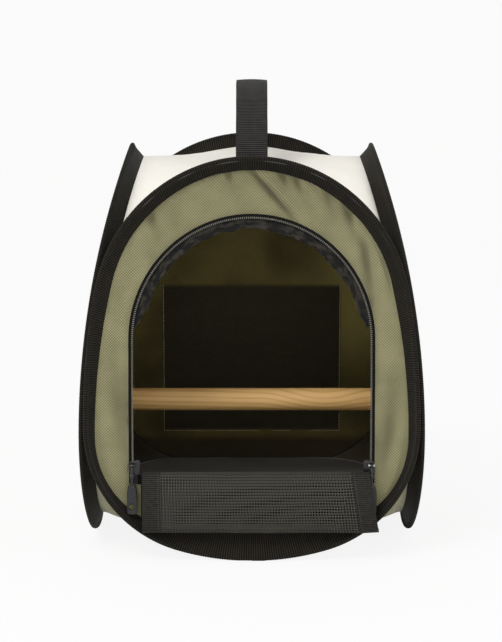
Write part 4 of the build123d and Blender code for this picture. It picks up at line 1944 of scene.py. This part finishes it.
    def build(self) -> list[Piece]:
        """Models the whole zip.

        Returns:
            The pieces.
        """
        made = [self.tape(), self.teeth(), self.guard(), self.welt()]
        for side, name in ((-1, "left"), (1, "right")):
            # The right bracket gets bright metal, the left black enamel: a painted highlight on the
            # right slider.
            finish = self.wardrobe.enamel if side < 0 else self.wardrobe.bright
            made += [*self.slider(side, name, finish), self.puller(name)]
        return made


# ---------------------------------------------------------------- mesh door

# Turns of the rolled cloth seen from the left, as y and z, from the sill inwards and out again.
ROLL_KNOTS = (
    (-127.4, 57.0), (-127.1, 45.0), (-127.8, 32.0), (-131.5, 27.6), (-136.4, 30.0), (-137.9, 40.0),
    (-138.2, 52.0), (-137.2, 64.0), (-134.2, 70.2), (-131.6, 71.1), (-130.9, 71.9), (-132.6, 72.4),
    (-136.8, 70.4), (-140.6, 62.0), (-142.0, 48.0), (-140.8, 34.0), (-137.0, 26.2), (-132.0, 24.0),
    (-128.6, 26.0),
)


@dataclass
class Door:
    """The mesh door, rolled down in front of the sill, and the five strips that it opens to."""

    wardrobe: Wardrobe
    half_width: float = 87.1
    sill: float = 69.0
    spring_z: float = 176.0
    strips: int = 5
    cloth: float = 0.6
    roll_left: float = -86.0
    roll_right: float = 85.0
    roll_flat: float = 188.0
    roll_top: float = 71.0
    roll_height: float = 46.0
    inner_turns: float = 0.30
    middle_turns: float = 0.52
    slant: float = 7.0
    flap_right: float = 92.5
    flap_lean: float = 7.5
    curl_from: float = 88.0
    curl_width: float = 14.0
    curl: float = 2.6
    roll_slack: Slack = Slack(waves=0.7, wave_size=34.0, dents=0.3, dent_size=9.0, shift=1.0)
    knot_steps: int = 8

    def half_at(self, z: float) -> float:
        """Gives the closed door's half width at a height.

        Args:
            z: The height.

        Returns:
            The half width.
        """
        if z <= self.spring_z:
            return self.half_width
        return sqrt(max(self.half_width**2 - (z - self.spring_z) ** 2, 0.0))

    def strip(self, index: int) -> Piece:
        """Models one strip where it lies folded.

        Args:
            index: From 0 at the sill.

        Returns:
            The strip.
        """
        model = Model(f"door_fold_{index + 1}_cloth")
        low, high = (corner * 1000 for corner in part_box(f"door_hem_{index + 1}"))
        door_top = self.spring_z + self.half_width
        step = (door_top - self.sill) / self.strips
        foot = self.sill + step * index
        y = (low.y + high.y) / 2

        def spot(u: float, v: float) -> Pair:
            """Finds a place in the closed door.

            Args:
                u: Share across.
                v: Share up.

            Returns:
                x and z.
            """
            tall = step - (0.4 if index < self.strips - 1 else 0.2)
            z = foot + 0.2 + tall * v
            return (2 * u - 1) * self.half_at(z), z

        def place(u: float, v: float) -> Vector:
            """Places the strip where it lies folded.

            Args:
                u: Share across.
                v: Share up, as closed.

            Returns:
                The point.
            """
            x, z = spot(u, v)
            rise = z - foot
            lying = self.sill - rise if index % 2 == 0 else self.sill - step + rise
            return Vector((x, y + 0.18 * ripple(x, z, 30.0, 2.0 + index), lying))

        def edge(u: float, v: float) -> float:
            """Gives the distance to the door's edge.

            Args:
                u: Share across.
                v: Share up, as closed.

            Returns:
                The distance, in metres.
            """
            x, z = spot(u, v)
            away = self.half_width - hypot(x, max(z - self.spring_z, 0.0))
            return max(away, 0.0) * METRES

        model.cloth(88, 20, place, self.cloth, spot, mark=edge)
        # The folded strips take the door net's darker copy: painted shade inside the roll.
        piece = model.piece(self.wardrobe.door_shaded_copy, f"door_strip_{index + 1}", "net",
                            f"door_net_{index + 1}", f"door_hem_{index + 1}")
        half = [self.half_at(foot + step * k / 20) for k in range(21)]
        area = step * 2 * (sum(half) - (half[0] + half[-1]) / 2) / 20
        2 * half[0] * METRES
        step * METRES
        min(area * METRES**2, 2 * half[0] * step * METRES**2)
        return piece

    def roll_line(self) -> list[Vector]:
        """Gives the rolled cloth's line in the side view, smooth through its knots.

        Returns:
            Points with y and z as their x and y.
        """
        last = len(ROLL_KNOTS) - 1
        line = []
        for k in range(last):
            p = [Vector((*ROLL_KNOTS[min(max(k + d, 0), last)], 0.0)) for d in (-1, 0, 1, 2)]
            for j in range(self.knot_steps):
                t = j / self.knot_steps
                line.append(0.5 * ((2 * p[1]) + (p[2] - p[0]) * t
                                   + (2 * p[0] - 5 * p[1] + 4 * p[2] - p[3]) * t**2
                                   + (3 * p[1] - p[0] - 3 * p[2] + p[3]) * t**3))
        line.append(Vector((*ROLL_KNOTS[last], 0.0)))
        return line

    def roll(self) -> Piece:
        """Models the cloth rolled round the strips.

        Returns:
            The roll.
        """
        model = Model("door_roll")
        line = self.roll_line()
        run = [0.0]
        for a, b in zip(line, line[1:]):
            run.append(run[-1] + (b - a).length)

        def right_end(share: float, z: float) -> float:
            """Finds the right end: straight on the inner turns, then slanting, then leaning.

            Args:
                share: Share along the turns.
                z: Height.

            Returns:
                x.
            """
            if share < self.inner_turns:
                return self.roll_right
            if share < self.middle_turns:
                slanting = self.middle_turns - self.inner_turns
                return self.roll_right + self.slant * (share - self.inner_turns) / slanting
            return self.flap_right + self.flap_lean * (self.roll_top - z) / self.roll_height

        def place(u: float, v: float) -> Vector:
            """Places the cloth.

            Args:
                u: Share across.
                v: Share along the turns.

            Returns:
                The point.
            """
            k, t = span(len(line), v)
            point = line[k].lerp(line[k + 1], t)
            y, z = point.x, point.y
            share = run[k] / run[-1]
            x = self.roll_left + (right_end(share, z) - self.roll_left) * u
            x += 0.5 * ripple(v * 40, 0.0, 9.0, 3.0) * (1 - 2 * u)
            loose = self.roll_slack.at(x, v * 60, 11.0)
            calm = 1.0 if share > 0.54 else 0.35
            curl = max(0.0, x - self.curl_from) / self.curl_width
            y += loose * calm * (1 if y < -134 else -1) * 0.8
            y += self.curl * curl**2 * (share > 0.5)
            return Vector((x, y, z + 0.35 * loose))

        def flat(u: float, v: float) -> Pair:
            """Gives the cloth's own coordinates."""
            k, t = span(len(line), v)
            return u * self.roll_flat, run[k] + (run[k + 1] - run[k]) * t

        model.cloth(150, len(line) - 1, place, self.cloth, flat,
                    mark=lambda u, v: min(u, 1 - u) * self.roll_flat * METRES)
        piece = model.piece(self.wardrobe.door_mesh, "door_strip_1", "net")
        self.roll_flat * METRES
        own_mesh(piece)
        return piece

    def build(self) -> list[Piece]:
        """Models the strips and the roll.

        Returns:
            The pieces.
        """
        return [self.strip(index) for index in range(self.strips)] + [self.roll()]


# ---------------------------------------------------------------- perch, floor and handle

@dataclass
class Perch:
    """The pine rod across the cabin with its washers and cross-headed screws."""

    wardrobe: Wardrobe
    z: float = 104.0
    radius: float = 9.3
    edge: float = 1.0
    cross_reach: float = 2.3
    cross_half: float = 0.42
    cross_depth: float = 1.1

    def turned(self, model: Model, profile: Sequence[Pair], side: int,
               recess: bool = False) -> None:
        """Adds a round piece about the perch's axis.

        Args:
            model: The model that gets it.
            profile: Distance from the middle of the cabin and radius, in order.
            side: -1 for the left end, 1 for the right one.
            recess: Sinks a cross into the profile's first points.
        """
        def place(u: float, v: float) -> Vector:
            """Places the surface.

            Args:
                u: Share round the axis.
                v: Share along the profile.

            Returns:
                The point.
            """
            k, t = span(len(profile), v)
            x0, r0 = profile[k]
            x1, r1 = profile[k + 1]
            x, r = x0 + (x1 - x0) * t, r0 + (r1 - r0) * t
            a = 2 * pi * u
            y, z = r * cos(a), r * sin(a)
            in_cross = r < self.cross_reach and min(abs(y), abs(z)) < self.cross_half
            if recess and in_cross and v < 0.5:
                x -= self.cross_depth * min(1.0, (self.cross_reach - r) * 2)
            return Vector((side * x, y, self.z + z))

        model.grid(96, (len(profile) - 1) * 4, place, weld=True)

    def build(self) -> list[Piece]:
        """Models the rod, the washers and the screws.

        Returns:
            The pieces.
        """
        _, high = (corner * 1000 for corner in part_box("perch"))
        rod = Model("perch_rod")
        end = high.x
        shape = [(end, 0.0), (end, self.radius - self.edge), (end - 0.3, self.radius - 0.3),
                 (end - self.edge, self.radius)]
        mirrored = [(-x, r) for x, r in reversed(shape)]
        self.turned(rod, shape + mirrored, 1)
        made = [rod.piece(self.wardrobe.pine, "carrier", "pine", "perch", sharp=40)]
        washers, screws = Model("perch_washer_pair"), Model("perch_screw_pair")
        seat = SEAM_LEAN.out(self.z) + 0.95
        for side in (-1, 1):
            self.turned(washers, [(seat, 2.4), (seat, 10.6), (seat + 0.4, 11.0),
                                  (seat + 1.0, 11.0), (seat + 1.4, 10.5), (seat + 1.3, 6.0),
                                  (seat + 1.4, 2.8), (seat + 1.2, 2.4), (seat, 2.4)], side)
            face = seat + 1.45
            self.turned(screws, [(face + 2.3, 0.0), (face + 2.3, 1.0), (face + 2.2, 2.2),
                                 (face + 1.6, 3.3), (face + 0.6, 3.95), (face, 4.0),
                                 (face, 2.0), (end - 18.0, 2.0), (end - 20.0, 0.0)], side, True)
        made.append(washers.piece(self.wardrobe.steel, "carrier", "steel", "perch_washers",
                                  sharp=35))
        made.append(screws.piece(self.wardrobe.steel, "carrier", "steel", "perch_screws",
                                 sharp=45))
        return made


@dataclass
class FloorPad:
    """The brown cloth cover with its stiff board, a little crowned and edged with a seam."""

    wardrobe: Wardrobe
    half: float = 103.0
    corner: float = 44.0
    bottom: float = 26.2
    top: float = 32.2
    skin: float = 0.15
    seam_inset: float = 6.0
    seam_width: float = 0.9
    seam_depth: float = 0.35
    columns: int = 320

    def rim(self, turn: float) -> Pair:
        """Gives the outline's point along a ray from the middle.

        Args:
            turn: The ray's angle, in radians.

        Returns:
            x and y.
        """
        c, s = cos(turn), sin(turn)
        straight = self.half - self.corner
        low, high = 0.0, 160.0
        for _ in range(24):
            r = (low + high) / 2
            x, y = abs(r * c), abs(r * s)
            inside = hypot(max(x - straight, 0.0), max(y - straight, 0.0)) <= self.corner
            low, high = (r, high) if inside else (low, r)
        return low * c, low * s

    def build(self) -> Piece:
        """Models the pad.

        Returns:
            The pad.
        """
        model = Model("floor_pad")
        middle = (self.top + self.bottom) / 2
        rims = [self.rim(2 * pi * k / self.columns) for k in range(self.columns + 1)]

        def place(u: float, v: float) -> Vector:
            """Places the cover.

            Args:
                u: Share round the rim.
                v: Share out on top and back in below.

            Returns:
                The point.
            """
            x, y = rims[round(u * self.columns)]
            w = 2 * min(v, 1 - v)
            spread = sin(w * pi / 2) ** 0.9
            up = 1 if v < 0.5 else -1
            edge = min(1.0, (1 - spread) * 14)
            thick = (self.top - self.bottom) / 2 - self.skin
            z = thick * sqrt(max(0.0, 1 - (1 - edge) ** 2))
            x, y = x * spread, y * spread
            if up > 0:
                z += 0.5 * ripple(x, y, 46.0, 1.0) - 0.6 * (1 - edge * 0.5)
                seam = abs(abs(self.rim_gap(x, y)) - self.seam_inset)
                z -= self.seam_depth * exp(-(seam / self.seam_width) ** 2)
            return Vector((x, y, middle + up * z))

        def flat(u: float, v: float) -> Pair:
            """Gives the weave's own coordinates."""
            x, y = rims[round(u * self.columns)]
            return x * 2 * min(v, 1 - v), y * 2 * min(v, 1 - v)

        model.grid(self.columns, 96, place, flat, weld=True)
        piece = model.piece(self.wardrobe.brown, "floor", "brown_cloth", "floor_cover")
        return piece

    def rim_gap(self, x: float, y: float) -> float:
        """Gives how far a place is inside the pad's edge.

        Args:
            x: Distance across from the middle.
            y: Distance back from the middle.

        Returns:
            The distance.
        """
        straight = self.half - self.corner
        if abs(x) > straight and abs(y) > straight:
            return self.corner - hypot(abs(x) - straight, abs(y) - straight)
        return min(self.half - abs(x), self.half - abs(y))


@dataclass
class Handle:
    """The webbing handle, one strap from the front seam to the rear one."""

    wardrobe: Wardrobe
    top: float = 369.3
    reach: float = 88.0
    foot: float = 308.0
    width: float = 25.0
    cloth: float = 2.2
    cup: float = 0.7
    seam_rows: Pair = (0.012, 0.055)
    seam_half: float = 11.0

    def build(self) -> list[Piece]:
        """Models the strap and its sewing.

        Returns:
            The pieces.
        """
        rise = self.top - self.foot
        radius = (self.reach**2 + rise**2) / (2 * rise)
        centre = self.top - radius
        end = asin(self.reach / radius)
        length = 2 * end * radius

        def line(u: float) -> Pair:
            """Gives y and z of the strap's middle."""
            a = (2 * u - 1) * end
            return radius * sin(a), centre + radius * cos(a)

        def place(u: float, v: float) -> Vector:
            """Places the strap.

            Args:
                u: Share along.
                v: Share across.

            Returns:
                The point.
            """
            y, z = line(u)
            half = self.width / 2 + 0.15 * ripple(u * 200, v, 18.0, 5.0)
            cup = self.cup * (2 * v - 1) ** 2 * sin(pi * u) ** 2
            return Vector(((2 * v - 1) * half, y, z - cup))

        model = Model("handle_webbing")
        model.cloth(260, 14, place, self.cloth, lambda u, v: (u * length, v * self.width))
        strap = model.piece(self.wardrobe.webbing, "", "webbing", "handle_strap",
                            "handle_feet")
        length * METRES
        self.width * METRES
        threads = Model("handle_threads")
        for front in (-1, 1):
            for share in self.seam_rows:
                u = share if front < 0 else 1 - share
                y, z = line(u)
                y1, z1 = line(u + 0.002)
                out = Vector((0, -(z1 - z), y1 - y)).normalized()
                ends = [Vector((x, y, z)) + out * 1.15
                        for x in (-self.seam_half, self.seam_half)]
                stitches(threads, ends, out, 2.6, 2.0, 0.5)
        sewn = threads.piece(self.wardrobe.dark_thread, "", "webbing")
        for piece in (strap, sewn):
            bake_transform(piece)
        log.info("handle strap: %.0f mm long", length)
        return [strap, sewn]


# ---------------------------------------------------------------- studio

AIM = Vector((0.0, 0.0, 0.16))
FLOOR_SIZE = 4.0
SWEEP_START = 1.6
SWEEP_RISE = 0.8
WORLD_LIGHT = 0.55
PAPER_WHITE = 0.88


@dataclass(frozen=True)
class Lamp:
    """A soft rectangular lamp that faces the carrier."""

    name: str
    at: Triple
    size: float
    watts: float

    def build(self) -> None:
        """Adds the lamp, aimed at the middle of the cabin."""
        light = bpy.data.lights.new(self.name, "AREA")
        light.shape = "SQUARE"
        light.size = self.size
        light.energy = self.watts
        lamp = bpy.data.objects.new(self.name, light)
        lamp.location = self.at
        aim = AIM - Vector(self.at)
        lamp.rotation_euler = aim.to_track_quat("-Z", "Y").to_euler()
        bpy.context.scene.collection.objects.link(lamp)


@dataclass
class Studio:
    """Camera, lamps, world and pale floor."""

    eye: Triple = (-0.0006, -2.020, 0.518)
    pitch: float = 9.77
    lens: float = 138.4
    lamps: tuple[Lamp, ...] = (
        Lamp("key", (-0.9, -1.6, 2.0), 0.9, 28.0),
        Lamp("fill", (1.7, -1.5, 1.2), 1.8, 9.0),
        Lamp("front", (0.1, -2.6, 0.7), 1.2, 6.0),
    )

    def build(self) -> None:
        """Sets the scene's camera, lamps, world and floor."""
        camera = bpy.data.cameras.new("camera")
        camera.lens = self.lens
        camera.clip_end = 50
        holder = bpy.data.objects.new("camera", camera)
        holder.location = self.eye
        holder.rotation_euler = (radians(90 - self.pitch), 0.0, 0.0)
        bpy.context.scene.collection.objects.link(holder)
        bpy.context.scene.camera = holder
        for lamp in self.lamps:
            lamp.build()
        self.world()
        self.floor()
        bpy.context.scene.view_settings.view_transform = "Standard"

    @staticmethod
    def world() -> None:
        """Makes a soft world that cameras and mirrors see as white."""
        world = bpy.data.worlds.new("studio")
        bpy.context.scene.world = world
        world.use_nodes = True
        world.node_tree.nodes.clear()
        tree = Tree(world.node_tree)
        lit, white = (tree.add("Background", sockets={"Color": colour, "Strength": strength})
                      for colour, strength in (((1.0, 0.99, 0.97, 1.0), WORLD_LIGHT),
                                               ((1.0, 1.0, 1.0, 1.0), 1.0)))
        mix = tree.add("MixShader", sockets={0: tree.rays("Camera", "Glossy", "Transmission"),
                                             1: lit.outputs[0], 2: white.outputs[0]})
        tree.add("OutputWorld", sockets={"Surface": mix.outputs[0]})

    @staticmethod
    def whiten(shader: Shader) -> None:
        """Makes the paper near white to cameras and mirrors, with its shadows kept.

        Args:
            shader: The paper's material.
        """
        tree = shader.tree
        mix = tree.add("MixShader", sockets={0: tree.rays("Camera", "Glossy") * PAPER_WHITE,
                                             1: shader.surface.outputs[0],
                                             2: tree.add("Emission").outputs[0]})
        tree.put(tree.graph.nodes["Material Output"].inputs["Surface"], mix.outputs[0])

    @staticmethod
    def floor() -> None:
        """Lays a pale floor that runs up into a backdrop."""
        bm = bmesh.new()
        bmesh.ops.create_grid(bm, x_segments=8, y_segments=60, size=FLOOR_SIZE)
        for vert in bm.verts:
            bend = max(0.0, vert.co.y - SWEEP_START)
            vert.co.z = bend**2 * SWEEP_RISE
        mesh = bpy.data.meshes.new("floor_sweep")
        bm.to_mesh(mesh)
        bm.free()
        for face in mesh.polygons:
            face.use_smooth = True
        shader = Shader("floor_paper")
        shader.put(Base_Color=(0.93, 0.93, 0.93, 1.0), Roughness=0.9, Specular_IOR_Level=0.1)
        Studio.whiten(shader)
        mesh.materials.append(shader.material)
        sweep = bpy.data.objects.new("floor_sweep", mesh)
        sweep.location.z = -0.0002
        bpy.context.scene.collection.objects.link(sweep)


# ---------------------------------------------------------------- the carrier

@dataclass
class Carrier:
    """The whole carrier, dressed piece by piece."""

    wardrobe: Wardrobe

    def dress_hidden(self) -> None:
        """Gives the nodes that stay their materials: the hoop wires and the floor's board."""
        for name, finish in (*((f"{side.label}_hoop_wire", self.wardrobe.wire) for side in Side),
                             ("floor_board", self.wardrobe.board)):
            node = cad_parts[name]
            node.data.materials.clear()
            node.data.materials.append(finish)

    def build(self) -> None:
        """Builds every piece."""
        opening = Arch(half_width=96.6, bottom=61.0)
        creases = {Side.FRONT: FRONT_CREASES, Side.REAR: INNER_CREASES}
        for side in Side:
            SidePanel(side, self.wardrobe, creases.get(side, ()), seed=side.value + 1.0,
                      cut=opening if side is Side.FRONT else None).build()
        SpreadPanel("top_panel_cloth", True, self.wardrobe.cream, "cream_cloth", corner=109.0,
                    level=SEAM.top, sag=0.8, flatness=2.6, seed=21.0).build()
        SpreadPanel("bottom_panel_cloth", False, self.wardrobe.olive_base, "olive_cloth",
                    corner=122.0, level=SEAM.bottom, sag=-3.1, flatness=12.0, seed=22.0).build()
        for side in Side:
            Binding(side, self.wardrobe).build()
        Pocket(self.wardrobe).build()
        Zip(self.wardrobe).build()
        Door(self.wardrobe).build()
        Perch(self.wardrobe).build()
        FloorPad(self.wardrobe).build()
        Handle(self.wardrobe).build()
        self.dress_hidden()


def main() -> None:
    """Builds the studio and the carrier."""
    logging.basicConfig(level=logging.INFO, format="%(message)s")
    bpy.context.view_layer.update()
    Studio().build()
    Carrier(Wardrobe()).build()


if __name__ == "__main__":
    main()
